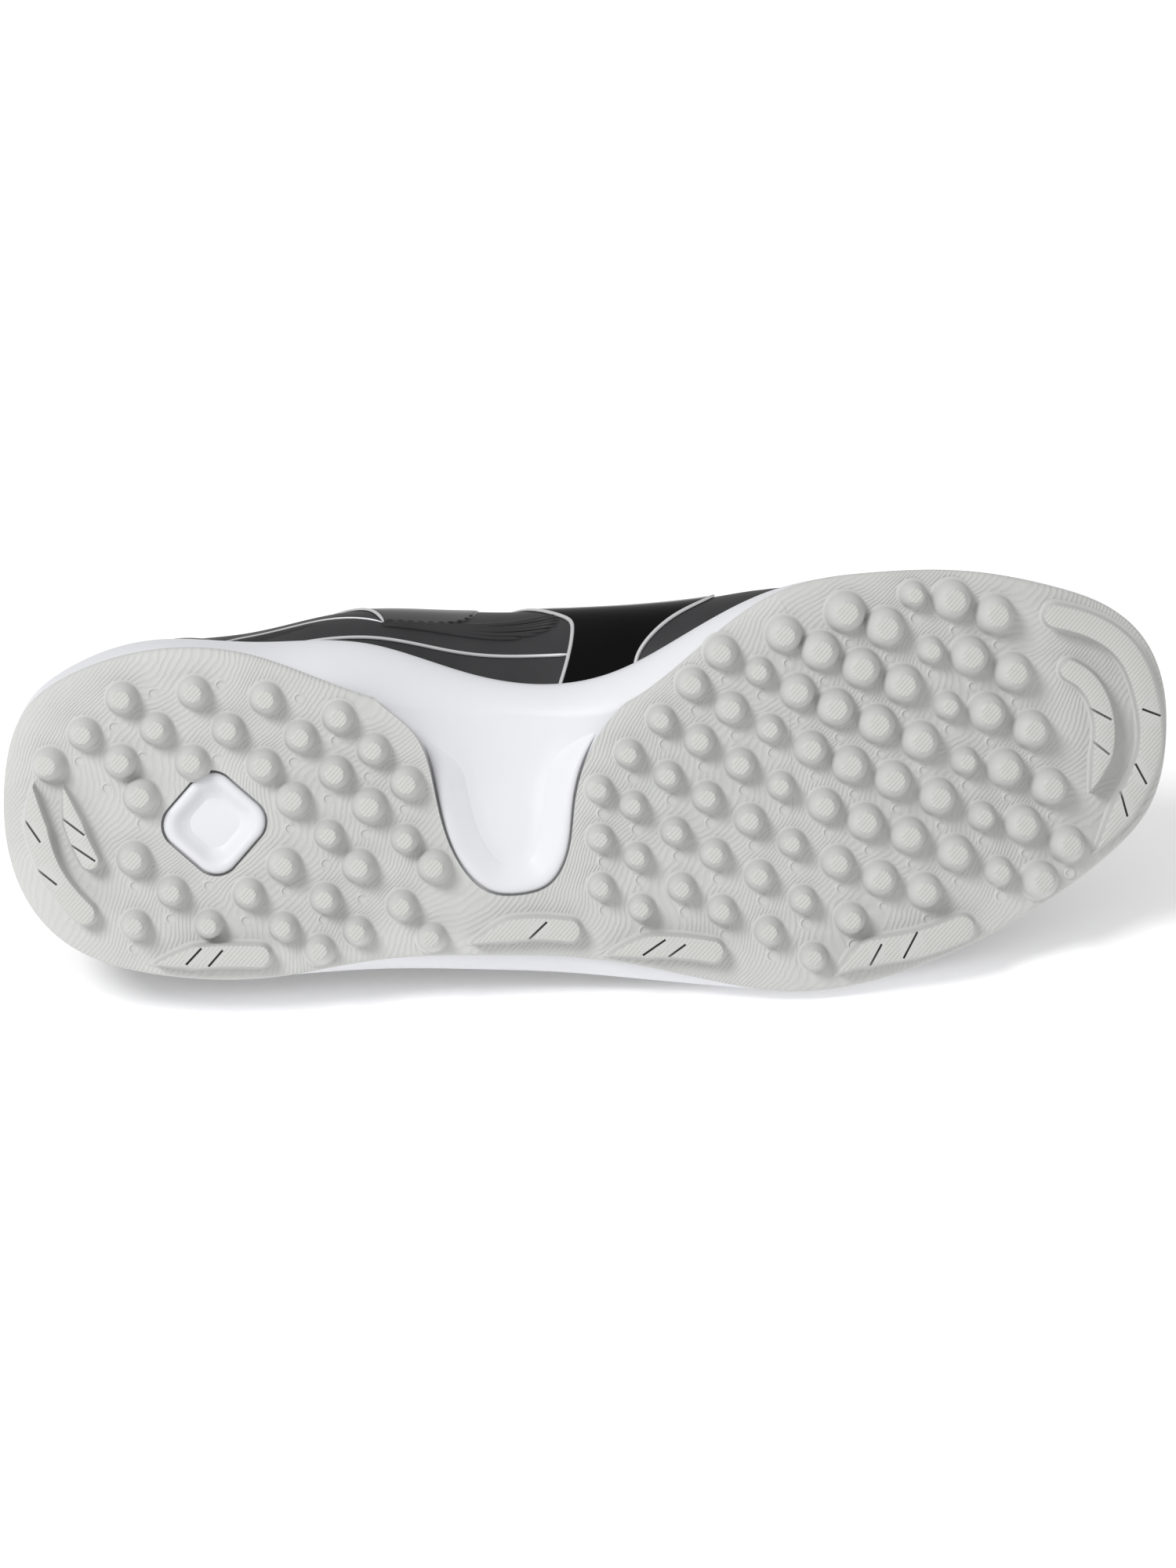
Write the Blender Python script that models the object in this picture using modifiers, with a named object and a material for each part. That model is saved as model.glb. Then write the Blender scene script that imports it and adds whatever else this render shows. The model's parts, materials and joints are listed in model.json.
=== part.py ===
# A left turf shoe, empty, lying on its lateral side.
# The shoe is modelled standing: x runs from heel back to toe tip, y to the lateral
# side, z up from the floor under the stud tips. An empty then lays it on its side.

import math

import bmesh
import bpy
import numpy as np
from mathutils import Matrix, Vector

# Driving dimensions, in metres
LENGTH = 0.285
BALL_WIDTH = 0.101
GAP = 0.0003

STUD_HEIGHT = 0.006
LUG_HEIGHT = 0.0048
LUG_ROOT = 0.7
RUBBER = 0.0022
RUBBER_EDGE = 0.0012
EDGE_BAND = 0.005
LUG_FLARE = 0.22
LUG_POINT = 0.00005
TOE_SPRING = 0.0135
HEEL_BEVEL = 0.0028

FOAM_HEEL = 0.0135
FOAM_FORE = 0.007
CUP_DEPTH = 0.0052
CUP_WALL = 0.0046
ARCH_LIFT = 0.007
ARCH_RISE = 0.003
FOAM_INSET = 0.0006
RIM_ROUND = 0.0010
RIM_FALL = 0.0018
RIM_CREST = 0.0024
CREST_FALL = 0.0004

WINDOW_SIDE = 0.0215
WINDOW_CORNER = 0.0055
WINDOW_RIM = 0.0034
WINDOW_DEPTH = 0.0032
WINDOW_FLUSH = 0.0005
WINDOW_SLOPE = 0.002
WINDOW_ROOT = 0.002

INSOLE = 0.003
UPPER_WALL = 0.0022
COLLAR_HEIGHT = 0.073
THROAT_END = 0.62
THROAT_ROUND = 0.045

TONGUE_WALL = 0.0035
TONGUE_FREE = 0.016
TONGUE_CLEAR = 0.0010
TONGUE_ARCH = 0.12
TONGUE_TUCK = 0.05
TONGUE_TAPER = 0.90
TONGUE_SPACING = 0.004
TONGUE_LANES = 6

LACE_WIDTH = 0.0046
LACE_THICK = 0.0014
LACE_OVER = 0.0012
LACE_ROWS = 6
LACE_STEPS = 6
LACE_SPARE = 0.25
LACE_ROUND = 0.6
THROAT_INSET = 0.020
EYELET_INSET = 0.006
EYELET_MARGIN = 0.6

COLLAR_STATIONS = 22
VAMP_STATIONS = 12
WALL_LEVELS = 8
FOAM_LANES = 7
THIN_LANES = 3

# Plan of the sole. along is a share of LENGTH, the edges are shares of BALL_WIDTH.
# Columns: along, rubber medial, rubber lateral, foam medial, foam lateral
SOLE_PLAN = (
    (0.000, 0.020, 0.020, 0.020, 0.020),
    (0.015, -0.206, 0.212, -0.216, 0.218),
    (0.057, -0.316, 0.342, -0.330, 0.348),
    (0.140, -0.376, 0.418, -0.391, 0.424),
    (0.228, -0.342, 0.430, -0.371, 0.438),
    (0.320, -0.233, 0.401, -0.352, 0.437),
    (0.405, -0.185, 0.405, -0.266, 0.451),
    (0.465, -0.170, 0.416, -0.233, 0.465),
    (0.527, -0.178, 0.444, -0.256, 0.488),
    (0.590, -0.289, 0.490, -0.340, 0.513),
    (0.660, -0.423, 0.530, -0.430, 0.534),
    (0.744, -0.469, 0.511, -0.463, 0.515),
    (0.825, -0.462, 0.438, -0.458, 0.442),
    (0.902, -0.412, 0.329, -0.411, 0.333),
    (0.955, -0.348, 0.224, -0.348, 0.228),
    (0.988, -0.246, 0.104, -0.246, 0.106),
    (1.000, -0.094, -0.094, -0.094, -0.094),
)

# Arch cut-out of the rubber, from its heel end to its toe end.
# Columns: along (share of LENGTH), across (share of BALL_WIDTH)
ARCH_NOTCH = (
    (0.300, -0.420),
    (0.322, -0.230),
    (0.353, -0.144),
    (0.369, 0.004),
    (0.388, 0.186),
    (0.412, 0.254),
    (0.438, 0.263),
    (0.462, 0.244),
    (0.478, 0.184),
    (0.488, 0.049),
    (0.501, -0.064),
    (0.529, -0.171),
    (0.588, -0.289),
    (0.640, -0.430),
)
WINDOW_ALONG = 0.180
WINDOW_ACROSS = 0.050
WINDOW_TURN = math.radians(44.0)

# Forefoot studs, one row a column of studs that fans towards the toe.
# The radii are shares of LENGTH.
# Columns: along, across, step along, step across, count, first radius, last radius
FORE_STUDS = (
    (0.784, -0.412, 0.0124, 0.1360, 6, 0.0116, 0.0126),
    (0.817, -0.394, 0.0129, 0.1380, 6, 0.0172, 0.0161),
    (0.853, -0.352, 0.0133, 0.1415, 5, 0.0172, 0.0161),
    (0.759, -0.337, 0.0126, 0.1386, 5, 0.0175, 0.0158),
    (0.726, -0.379, 0.0111, 0.1365, 6, 0.0175, 0.0154),
    (0.703, -0.290, 0.0103, 0.1391, 5, 0.0170, 0.0154),
    (0.673, -0.334, 0.0089, 0.1388, 6, 0.0158, 0.0137),
    (0.650, -0.249, 0.0069, 0.1390, 6, 0.0123, 0.0119),
    (0.619, -0.299, 0.0057, 0.1355, 6, 0.0147, 0.0126),
    (0.593, -0.227, 0.0038, 0.1372, 5, 0.0140, 0.0126),
    (0.565, -0.145, 0.0033, 0.1357, 4, 0.0123, 0.0123),
    (0.536, -0.067, 0.0013, 0.1244, 4, 0.0123, 0.0116),
    (0.509, 0.015, -0.0012, 0.1178, 3, 0.0119, 0.0116),
)

# Heel studs, one row a line of studs from back to front, bowed by sag.
# Columns: first along, first across, last along, last across, sag, count,
# the place left out for the window (from 0, or -1), radius as a share of LENGTH
HEEL_STUDS = (
    (0.108, -0.263, 0.291, -0.191, -0.034, 4, -1, 0.0140),
    (0.074, -0.183, 0.319, -0.109, -0.029, 5, -1, 0.0140),
    (0.043, -0.113, 0.346, -0.024, -0.025, 6, -1, 0.0147),
    (0.119, -0.026, 0.313, 0.026, -0.008, 4, 1, 0.0154),
    (0.277, 0.090, 0.342, 0.111, 0.000, 2, -1, 0.0126),
    (0.110, 0.124, 0.365, 0.180, 0.006, 5, 1, 0.0147),
    (0.141, 0.208, 0.336, 0.270, -0.006, 4, -1, 0.0133),
    (0.108, 0.283, 0.360, 0.351, -0.010, 5, -1, 0.0126),
    (0.264, 0.367, 0.264, 0.367, 0.000, 1, -1, 0.0130),
)
STUD_TIP = 0.53
STUD_SIDES = 8

# Long lugs. The half width and the length of the pointed start are shares of LENGTH.
# Columns: name, half width, pointed start, spine of (along, across) places from the
# pointed start to the round end
LUGS = (
    ("heel_side", 0.0102, 0.035, ((0.122, 0.379), (0.152, 0.368), (0.223, 0.374))),
    ("waist_side", 0.0102, 0.035, ((0.393, 0.370), (0.420, 0.345), (0.488, 0.354))),
    ("ball_side", 0.0102, 0.035, ((0.509, 0.415), (0.536, 0.400), (0.609, 0.424))),
    ("fore_side", 0.0119, 0.032, ((0.704, 0.490), (0.719, 0.458), (0.766, 0.431),
                                  (0.824, 0.386))),
    ("toe_rim", 0.0109, 0.042, ((0.931, 0.236), (0.962, 0.118), (0.982, 0.004),
                                (0.982, -0.123), (0.964, -0.252), (0.931, -0.318),
                                (0.895, -0.348))),
    ("toe_inner", 0.0098, 0.032, ((0.929, 0.090), (0.943, -0.023), (0.942, -0.112),
                                  (0.929, -0.182), (0.908, -0.221))),
    ("heel_rim", 0.0105, 0.035, ((0.028, -0.068), (0.028, 0.000), (0.032, 0.080),
                                 (0.041, 0.152), (0.054, 0.212), (0.068, 0.258))),
    ("heel_inner", 0.0091, 0.032, ((0.054, -0.064), (0.058, -0.006), (0.063, 0.051),
                                   (0.073, 0.135))),
)

# The upper, a row for each section from heel to toe. foot and top are shares of
# LENGTH, spine, shoulder and the four bulges are shares of BALL_WIDTH, height is a
# share of COLLAR_HEIGHT, low up and high up are shares of the section's own height.
# Columns: foot, top, height, spine, shoulder, medial low, medial high, lateral low,
# lateral high, low up, high up
UPPER_PLAN = (
    (0.000, 0.036, 1.000, 0.020, 0.000, 0.045, 0.060, 0.045, 0.060, 0.34, -0.36),
    (0.057, 0.066, 0.930, 0.020, 0.215, 0.050, 0.070, 0.055, 0.085, 0.34, -0.36),
    (0.160, 0.150, 0.840, 0.018, 0.300, 0.070, 0.085, 0.085, 0.130, 0.34, -0.36),
    (0.260, 0.232, 0.875, 0.012, 0.300, 0.115, 0.130, 0.050, 0.110, 0.30, -0.34),
    (0.340, 0.300, 0.985, 0.000, 0.265, 0.190, 0.205, 0.050, 0.140, 0.28, -0.32),
    (0.410, 0.358, 1.100, -0.012, 0.215, 0.235, 0.260, 0.060, 0.200, 0.26, -0.28),
    (0.480, 0.425, 1.060, -0.020, 0.170, 0.255, 0.290, 0.060, 0.220, 0.26, -0.22),
    (0.560, 0.510, 0.950, -0.028, 0.135, 0.230, 0.325, 0.050, 0.195, 0.30, -0.14),
    (0.640, 0.590, 0.855, -0.034, 0.115, 0.130, 0.250, 0.045, 0.170, 0.36, -0.05),
    (0.670, 0.620, 0.825, -0.036, 0.110, 0.110, 0.230, 0.045, 0.185, 0.38, -0.02),
    (0.740, 0.696, 0.765, -0.042, 0.100, 0.065, 0.175, 0.040, 0.175, 0.42, 0.00),
    (0.830, 0.790, 0.710, -0.052, 0.085, 0.040, 0.140, 0.035, 0.155, 0.48, 0.00),
    (0.930, 0.878, 0.670, -0.068, 0.055, 0.030, 0.120, 0.030, 0.125, 0.55, 0.00),
    (1.000, 0.912, 0.655, -0.078, 0.000, 0.018, 0.130, 0.018, 0.130, 0.55, 0.00),
)

# The tongue's free end. Columns: reach (share of TONGUE_FREE), width (share)
TONGUE_END = ((0.35, 0.82), (0.70, 0.76), (0.92, 0.66), (1.00, 0.52))

# Materials: name, colour, roughness
FINISHES = {
    "outsole": ((0.62, 0.63, 0.60), 0.75),
    "midsole": ((0.80, 0.81, 0.84), 0.45),
    "insole": ((0.05, 0.05, 0.055), 0.90),
    "upper": ((0.045, 0.045, 0.048), 0.55),
    "tongue": ((0.040, 0.040, 0.043), 0.85),
    "lace": ((0.03, 0.03, 0.032), 0.90),
}


def clear_scene():
    for obj in list(bpy.data.objects):
        bpy.data.objects.remove(obj, do_unlink=True)


def new_collection(name):
    collection = bpy.data.collections.new(name)
    bpy.context.scene.collection.children.link(collection)
    return collection


def finish_material(name):
    colour, roughness = FINISHES[name.split("_")[0]]
    material = bpy.data.materials.new(name + "_finish")
    material.use_nodes = True
    shader = material.node_tree.nodes["Principled BSDF"]
    shader.inputs["Base Color"].default_value = (*colour, 1.0)
    shader.inputs["Roughness"].default_value = roughness
    shader.inputs["Metallic"].default_value = 0.0
    material.diffuse_color = (*colour, 1.0)
    return material


def add_object(name, mesh, collection):
    obj = bpy.data.objects.new(name, mesh)
    collection.objects.link(obj)
    return obj


def add_part(name, mesh, collection, empty):
    """A piece of the shoe, with its own finish, carried by the empty."""
    obj = add_object(name, mesh, collection)
    mesh.materials.append(finish_material(name))
    mesh.shade_smooth()
    mesh.set_sharp_from_angle(angle=math.radians(35.0))
    obj.parent = empty
    return obj


def add_cutter(name, mesh, collection, empty):
    obj = add_object(name, mesh, collection)
    obj.hide_render = True
    obj.display_type = "WIRE"
    obj.parent = empty
    return obj


def add_boolean(obj, cutter, operation):
    modifier = obj.modifiers.new(cutter.name, "BOOLEAN")
    modifier.operation = operation
    modifier.object = cutter
    modifier.solver = "EXACT"


def mesh_from(bm, name):
    mesh = bpy.data.meshes.new(name)
    bm.to_mesh(mesh)
    bm.free()
    return mesh


def curve_through(knots, values, at):
    """A natural cubic curve through the values of a table's column."""
    knots = np.asarray(knots, float)
    values = np.asarray(values, float)
    gaps = np.diff(knots)
    slopes = np.diff(values) / gaps
    count = len(knots)
    system = np.eye(count)
    target = np.zeros(count)
    for i in range(1, count - 1):
        system[i, i - 1:i + 2] = gaps[i - 1], 2 * (gaps[i - 1] + gaps[i]), gaps[i]
        target[i] = 6 * (slopes[i] - slopes[i - 1])
    bend = np.linalg.solve(system, target)
    at = np.asarray(at, float)
    cell = np.clip(np.searchsorted(knots, at) - 1, 0, count - 2)
    width = gaps[cell]
    after = (at - knots[cell]) / width
    before = 1 - after
    curl = (before ** 3 - before) * bend[cell] + (after ** 3 - after) * bend[cell + 1]
    return before * values[cell] + after * values[cell + 1] + curl * width ** 2 / 6


def smooth_step(value):
    value = np.clip(value, 0.0, 1.0)
    return value * value * (3 - 2 * value)


def turn_of(along):
    """The angle that spreads stations round the blunt heel and toe."""
    return np.arccos(np.clip(1 - 2 * np.asarray(along, float), -1.0, 1.0))


def sole_edges(along, columns):
    """Medial and lateral edge of the sole at the places along it."""
    table = np.array(SOLE_PLAN)
    turns = turn_of(table[:, 0])
    medial, lateral = columns
    return [curve_through(turns, table[:, c], turn_of(along)) * BALL_WIDTH
            for c in (medial, lateral)]


def ground(x):
    """Height of the rubber's under face over the floor."""
    toe = np.clip((x / LENGTH - 0.66) / 0.34, 0.0, 1.1)
    heel = np.clip(1 - x / LENGTH / 0.10, 0.0, 1.1)
    return STUD_HEIGHT + TOE_SPRING * toe ** 1.8 + HEEL_BEVEL * heel ** 2


def foam_under(x, y):
    """Height of the foam's under face, which rises into the arch."""
    across = y / BALL_WIDTH
    centre = 0.430 + 0.03 * across
    half = 0.055 + 0.085 * np.clip(0.26 - across, 0.0, 0.6) / 0.5
    inside = np.clip(1 - ((x / LENGTH - centre) / half) ** 2, 0.0, 1.0)
    rise = smooth_step((0.22 - across) / 0.42)
    return ground(x) + RUBBER + GAP + ARCH_LIFT * inside ** 1.5 * rise


def footbed(x):
    """Height of the cup's floor, on which the insole and the upper stand."""
    ramp = smooth_step((x / LENGTH - 0.22) / 0.44)
    return ground(x) + RUBBER + GAP + FOAM_HEEL + (FOAM_FORE - FOAM_HEEL) * ramp


def cup_rim(x, y):
    """Height of the cup's rim, which climbs at the medial arch."""
    arch = np.exp(-((x / LENGTH - 0.45) / 0.13) ** 2) * smooth_step(-y / BALL_WIDTH / 0.1)
    return footbed(x) + CUP_DEPTH + ARCH_RISE * arch


def ring_stations(count):
    return (1 - np.cos(np.pi * np.arange(count + 1) / count)) / 2


def plan_ring(along, columns, out=0.0):
    """Loop of plan points: heel back, lateral side, toe tip, medial side."""
    medial, lateral = sole_edges(along, columns)
    x = along * LENGTH
    loop = np.concatenate([np.column_stack([x, lateral]),
                           np.column_stack([x, medial])[-2:0:-1]])
    tangent = np.roll(loop, -1, axis=0) - np.roll(loop, 1, axis=0)
    tangent /= np.linalg.norm(tangent, axis=1)[:, None]
    normal = np.column_stack([-tangent[:, 1], tangent[:, 0]])
    return loop + normal * out


def raise_ring(plan, height):
    return np.column_stack([plan, height])


def add_ring(bm, points):
    return [bm.verts.new(p) for p in points]


def join_rings(bm, lower, upper):
    count = len(lower)
    for i in range(count):
        j = (i + 1) % count
        bm.faces.new((lower[i], lower[j], upper[j], upper[i]))


def add_floor(bm, ring, height, lanes):
    """Fill a ring with lanes across it; height(x, y) shapes the inside."""
    half = len(ring) // 2
    rows = []
    for i in range(half + 1):
        left, right = ring[i], ring[-i]
        if i in (0, half):
            rows.append([ring[i]] * (lanes + 1))
            continue
        row = [left]
        for k in range(1, lanes):
            x, y, _ = left.co.lerp(right.co, k / lanes)
            row.append(bm.verts.new((x, y, float(height(x, y)))))
        rows.append(row + [right])
    for near, far in zip(rows, rows[1:]):
        for k in range(lanes):
            corners = [near[k], near[k + 1], far[k + 1], far[k]]
            corners = list(dict.fromkeys(corners))
            if len(corners) > 2:
                bm.faces.new(corners)


def closed_rings(name, rings, bottom, top, lanes):
    """A solid of rings stacked from its bottom edge to its top edge."""
    bm = bmesh.new()
    loops = [add_ring(bm, ring) for ring in rings]
    for lower, upper in zip(loops, loops[1:]):
        join_rings(bm, lower, upper)
    add_floor(bm, loops[0], bottom, lanes)
    add_floor(bm, loops[-1], top, lanes)
    bmesh.ops.recalc_face_normals(bm, faces=bm.faces)
    bmesh.ops.triangulate(bm, faces=bm.faces)
    return mesh_from(bm, name)


RUBBER_COLUMNS = (1, 2)
FOAM_COLUMNS = (3, 4)


def rubber_slab():
    along = shoe_stations()
    edge = plan_ring(along, RUBBER_COLUMNS)
    band = plan_ring(along, RUBBER_COLUMNS, -EDGE_BAND)
    rings = [
        raise_ring(band, ground(band[:, 0])),
        raise_ring(edge, ground(edge[:, 0]) + RUBBER - RUBBER_EDGE),
        raise_ring(edge, ground(edge[:, 0]) + RUBBER),
    ]
    return closed_rings("outsole", rings, lambda x, y: ground(x),
                        lambda x, y: ground(x) + RUBBER, THIN_LANES)


def flat_cutter(name, points, low, high):
    """A prism of a smooth outline through the points, closed by a straight edge."""
    curve = bpy.data.curves.new(name, "CURVE")
    curve.dimensions = "2D"
    curve.fill_mode = "BOTH"
    curve.extrude = (high - low) / 2
    curve.resolution_u = 4
    curve.render_resolution_u = 0
    spline = curve.splines.new("BEZIER")
    spline.bezier_points.add(len(points) - 1)
    spline.use_cyclic_u = True
    for knot, (x, y) in zip(spline.bezier_points, points):
        knot.co = (x, y, 0.0)
        knot.handle_left_type = knot.handle_right_type = "AUTO"
    for knot in (spline.bezier_points[0], spline.bezier_points[-1]):
        knot.handle_left_type = knot.handle_right_type = "VECTOR"
    return solid_from_curve(name, curve, Vector((0.0, 0.0, (high + low) / 2)))


def solid_from_curve(name, curve, place):
    """A curve's evaluated mesh, with its caps welded, as plain mesh data."""
    holder = bpy.data.objects.new(name + "_curve", curve)
    bpy.context.scene.collection.objects.link(holder)
    bpy.context.view_layer.update()
    evaluated = holder.evaluated_get(bpy.context.evaluated_depsgraph_get())
    bm = bmesh.new()
    bm.from_mesh(evaluated.to_mesh())
    evaluated.to_mesh_clear()
    bmesh.ops.remove_doubles(bm, verts=bm.verts, dist=1e-7)
    bmesh.ops.recalc_face_normals(bm, faces=bm.faces)
    bmesh.ops.translate(bm, verts=bm.verts, vec=place)
    bpy.data.objects.remove(holder, do_unlink=True)
    return mesh_from(bm, name)


def window_prism(name, inset, low, high, low_inset=0.0):
    """A rounded square prism on the window's place, narrower at its low face."""
    side = WINDOW_SIDE - 2 * inset
    bm = bmesh.new()
    bmesh.ops.create_cube(bm, size=1.0)
    bmesh.ops.scale(bm, vec=(side, side, high - low), verts=bm.verts)
    upright = [e for e in bm.edges if abs(e.verts[0].co.z - e.verts[1].co.z) > 1e-6]
    bmesh.ops.bevel(bm, geom=upright, offset=max(WINDOW_CORNER - inset, side / 20),
                    segments=4, profile=0.5, affect="EDGES")
    upper_face = [v for v in bm.verts if v.co.z > 0]
    share = (side - 2 * low_inset) / side
    bmesh.ops.scale(bm, vec=(share, share, 1.0), verts=upper_face)
    bmesh.ops.rotate(bm, cent=(0, 0, 0), matrix=Matrix.Rotation(WINDOW_TURN, 3, "Z"),
                     verts=bm.verts)
    place = (WINDOW_ALONG * LENGTH, WINDOW_ACROSS * BALL_WIDTH, (high + low) / 2)
    bmesh.ops.translate(bm, vec=place, verts=bm.verts)
    return mesh_from(bm, name)


def ground_tilt(x):
    """Turn that lays an upright form on the rubber's slope at x."""
    step = 0.001
    slope = (ground(x + step) - ground(x - step)) / (2 * step)
    return Matrix.Rotation(-math.atan(slope), 3, "Y")


def add_stud(bm, x, y, radius):
    """A frustum that stands down from the rubber."""
    root = LUG_ROOT * RUBBER
    tip = radius * STUD_TIP
    wide = radius + (radius - tip) * root / STUD_HEIGHT
    made = bmesh.ops.create_cone(bm, cap_ends=True, cap_tris=False, segments=STUD_SIDES,
                                 radius1=tip, radius2=wide, depth=STUD_HEIGHT + root)
    verts = made["verts"]
    bmesh.ops.translate(bm, vec=(0, 0, (root - STUD_HEIGHT) / 2), verts=verts)
    bmesh.ops.rotate(bm, cent=(0, 0, 0), matrix=ground_tilt(x), verts=verts)
    bmesh.ops.translate(bm, vec=(x, y, float(ground(x))), verts=verts)


def stud_places():
    """(x, y, radius) of every stud."""
    places = []
    for along, across, step_x, step_y, count, first, last in FORE_STUDS:
        for k in range(count):
            share = k / (count - 1)
            places.append(((along + k * step_x) * LENGTH, (across + k * step_y) * BALL_WIDTH,
                           (first + (last - first) * share) * LENGTH))
    for x0, y0, x1, y1, sag, count, left_out, radius in HEEL_STUDS:
        for k in range(count):
            share = k / (count - 1) if count > 1 else 0.0
            bow = 4 * sag * share * (1 - share)
            if k != left_out:
                places.append(((x0 + (x1 - x0) * share) * LENGTH,
                               (y0 + (y1 - y0) * share + bow) * BALL_WIDTH, radius * LENGTH))
    return places


def lug_spine(points, steps):
    """Even places along a smooth line through the points, with its normals."""
    points = np.array(points) * (LENGTH, BALL_WIDTH)
    run = np.concatenate([[0.0], np.cumsum(np.linalg.norm(np.diff(points, axis=0), axis=1))])
    at = run[-1] * ring_stations(steps)
    line = np.column_stack([curve_through(run, points[:, c], at) for c in (0, 1)])
    tangent = np.gradient(line, at, axis=0)
    tangent /= np.linalg.norm(tangent, axis=1)[:, None]
    return at, line, np.column_stack([-tangent[:, 1], tangent[:, 0]])


def add_lug(bm, half_width, point_length, points):
    """A long lug with sloped walls, pointed at its start and round at its end."""
    steps = 5 + 2 * len(points)
    at, line, normal = lug_spine(points, steps)
    left = at[-1] - at
    pointed = np.clip(at / point_length, 0.0, 1.0)
    rounded = np.sqrt(np.clip(1 - (1 - left / half_width) ** 2, 0.0, 1.0))
    rounded[left > half_width] = 1.0
    half = half_width * np.minimum(pointed, rounded) + LUG_POINT
    root = LUG_ROOT * RUBBER
    rows = []
    for (x, y), n, w in zip(line, normal, half):
        row = []
        for side, drop in ((-1, root), (-1, -LUG_HEIGHT), (1, -LUG_HEIGHT), (1, root)):
            reach = side * w * (1 + LUG_FLARE * drop / LUG_HEIGHT)
            px, py = x + n[0] * reach, y + n[1] * reach
            row.append(bm.verts.new((px, py, float(ground(x)) + drop)))
        rows.append(row)
    for near, far in zip(rows, rows[1:]):
        for k in range(4):
            m = (k + 1) % 4
            bm.faces.new((near[k], near[m], far[m], far[k]))
    bm.faces.new(rows[0])
    bm.faces.new(rows[-1][::-1])


def tread_mesh():
    bm = bmesh.new()
    for x, y, radius in stud_places():
        add_stud(bm, x, y, radius)
    for _, half_width, point_length, points in LUGS:
        add_lug(bm, half_width * LENGTH, point_length * LENGTH, points)
    bmesh.ops.recalc_face_normals(bm, faces=bm.faces)
    bmesh.ops.triangulate(bm, faces=bm.faces)
    return mesh_from(bm, "tread")


def make_outsole(parts, cutters, empty):
    notch = [(a * LENGTH, c * BALL_WIDTH) for a, c in ARCH_NOTCH]
    low, high = -STUD_HEIGHT, 2 * STUD_HEIGHT + TOE_SPRING + RUBBER
    outsole = add_part("outsole", rubber_slab(), parts, empty)
    tread = add_cutter("tread", tread_mesh(), cutters, empty)
    arch_mesh = flat_cutter("arch_notch", notch, low, high)
    window_mesh = window_prism("window_hole", 0.0, low, high)
    arch = add_cutter("arch_notch", arch_mesh, cutters, empty)
    window = add_cutter("window_hole", window_mesh, cutters, empty)
    add_boolean(outsole, tread, "UNION")
    add_boolean(outsole, arch, "DIFFERENCE")
    add_boolean(outsole, window, "DIFFERENCE")


def foam_rings():
    """Rings of the foam from its under edge, over the rim and down into the cup."""
    along = shoe_stations()
    under = plan_ring(along, RUBBER_COLUMNS, -FOAM_INSET)
    wide = plan_ring(along, FOAM_COLUMNS)
    rim_out = plan_ring(along, FOAM_COLUMNS, -RIM_ROUND)
    crest = plan_ring(along, FOAM_COLUMNS, -RIM_CREST)
    inner = plan_ring(along, FOAM_COLUMNS, -CUP_WALL)

    def under_height(plan):
        return foam_under(plan[:, 0], plan[:, 1])

    def rim_height(plan):
        return cup_rim(plan[:, 0], plan[:, 1])

    low = 0.55 * wide + 0.45 * under
    low_height = 0.8 * under_height(low) + 0.2 * rim_height(low)
    mid_height = 0.45 * under_height(wide) + 0.55 * rim_height(wide)
    return [
        raise_ring(under, under_height(under)),
        raise_ring(low, low_height),
        raise_ring(wide, mid_height),
        raise_ring(rim_out, rim_height(rim_out) - RIM_FALL),
        raise_ring(crest, rim_height(crest) - CREST_FALL),
        raise_ring(inner, rim_height(inner) - CREST_FALL),
        raise_ring(inner, footbed(inner[:, 0])),
    ]


def make_midsole(parts, cutters, empty):
    mesh = closed_rings("midsole", foam_rings(), foam_under,
                        lambda x, y: footbed(x), FOAM_LANES)
    midsole = add_part("midsole", mesh, parts, empty)
    window_x = WINDOW_ALONG * LENGTH
    under = float(foam_under(window_x, 0.0))
    flush = float(ground(window_x)) + WINDOW_FLUSH
    plug = window_prism("window_plug", GAP, flush, under + WINDOW_ROOT)
    dish = window_prism("window_dish", WINDOW_RIM, flush - WINDOW_FLUSH,
                        flush + WINDOW_DEPTH, WINDOW_SLOPE)
    add_boolean(midsole, add_cutter("window_plug", plug, cutters, empty), "UNION")
    add_boolean(midsole, add_cutter("window_dish", dish, cutters, empty), "DIFFERENCE")


def make_insole(parts, empty):
    along = shoe_stations()
    edge = plan_ring(along, FOAM_COLUMNS, -(CUP_WALL + 2 * GAP + UPPER_WALL))
    rings = [
        raise_ring(edge, footbed(edge[:, 0]) + GAP),
        raise_ring(edge, footbed(edge[:, 0]) + GAP + INSOLE),
    ]
    mesh = closed_rings("insole", rings, lambda x, y: footbed(x) + GAP,
                        lambda x, y: footbed(x) + GAP + INSOLE, THIN_LANES)
    add_part("insole", mesh, parts, empty)


def upper_column(column, along):
    """A column of the upper's table at the places along its foot line."""
    table = np.array(UPPER_PLAN)
    return curve_through(turn_of(table[:, 0]), table[:, column], turn_of(along))


def throat_foot():
    """Share of the foot line whose section ends at the front of the throat."""
    table = np.array(UPPER_PLAN)
    return float(np.interp(THROAT_END, table[:, 1], table[:, 0]))


def shoe_stations():
    """Stations that all pieces share, close together at heel, throat end and toe."""
    split = throat_foot()
    behind = split * ring_stations(COLLAR_STATIONS)
    ahead = np.sin(np.linspace(0, np.pi / 2, VAMP_STATIONS + 1))[1:]
    return np.concatenate([behind, split + (1 - split) * ahead])


def round_end(share):
    """Closes an opening with a round end as share falls to nothing."""
    return np.sqrt(1 - (1 - np.clip(share, 0.0, 1.0)) ** 2)


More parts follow.
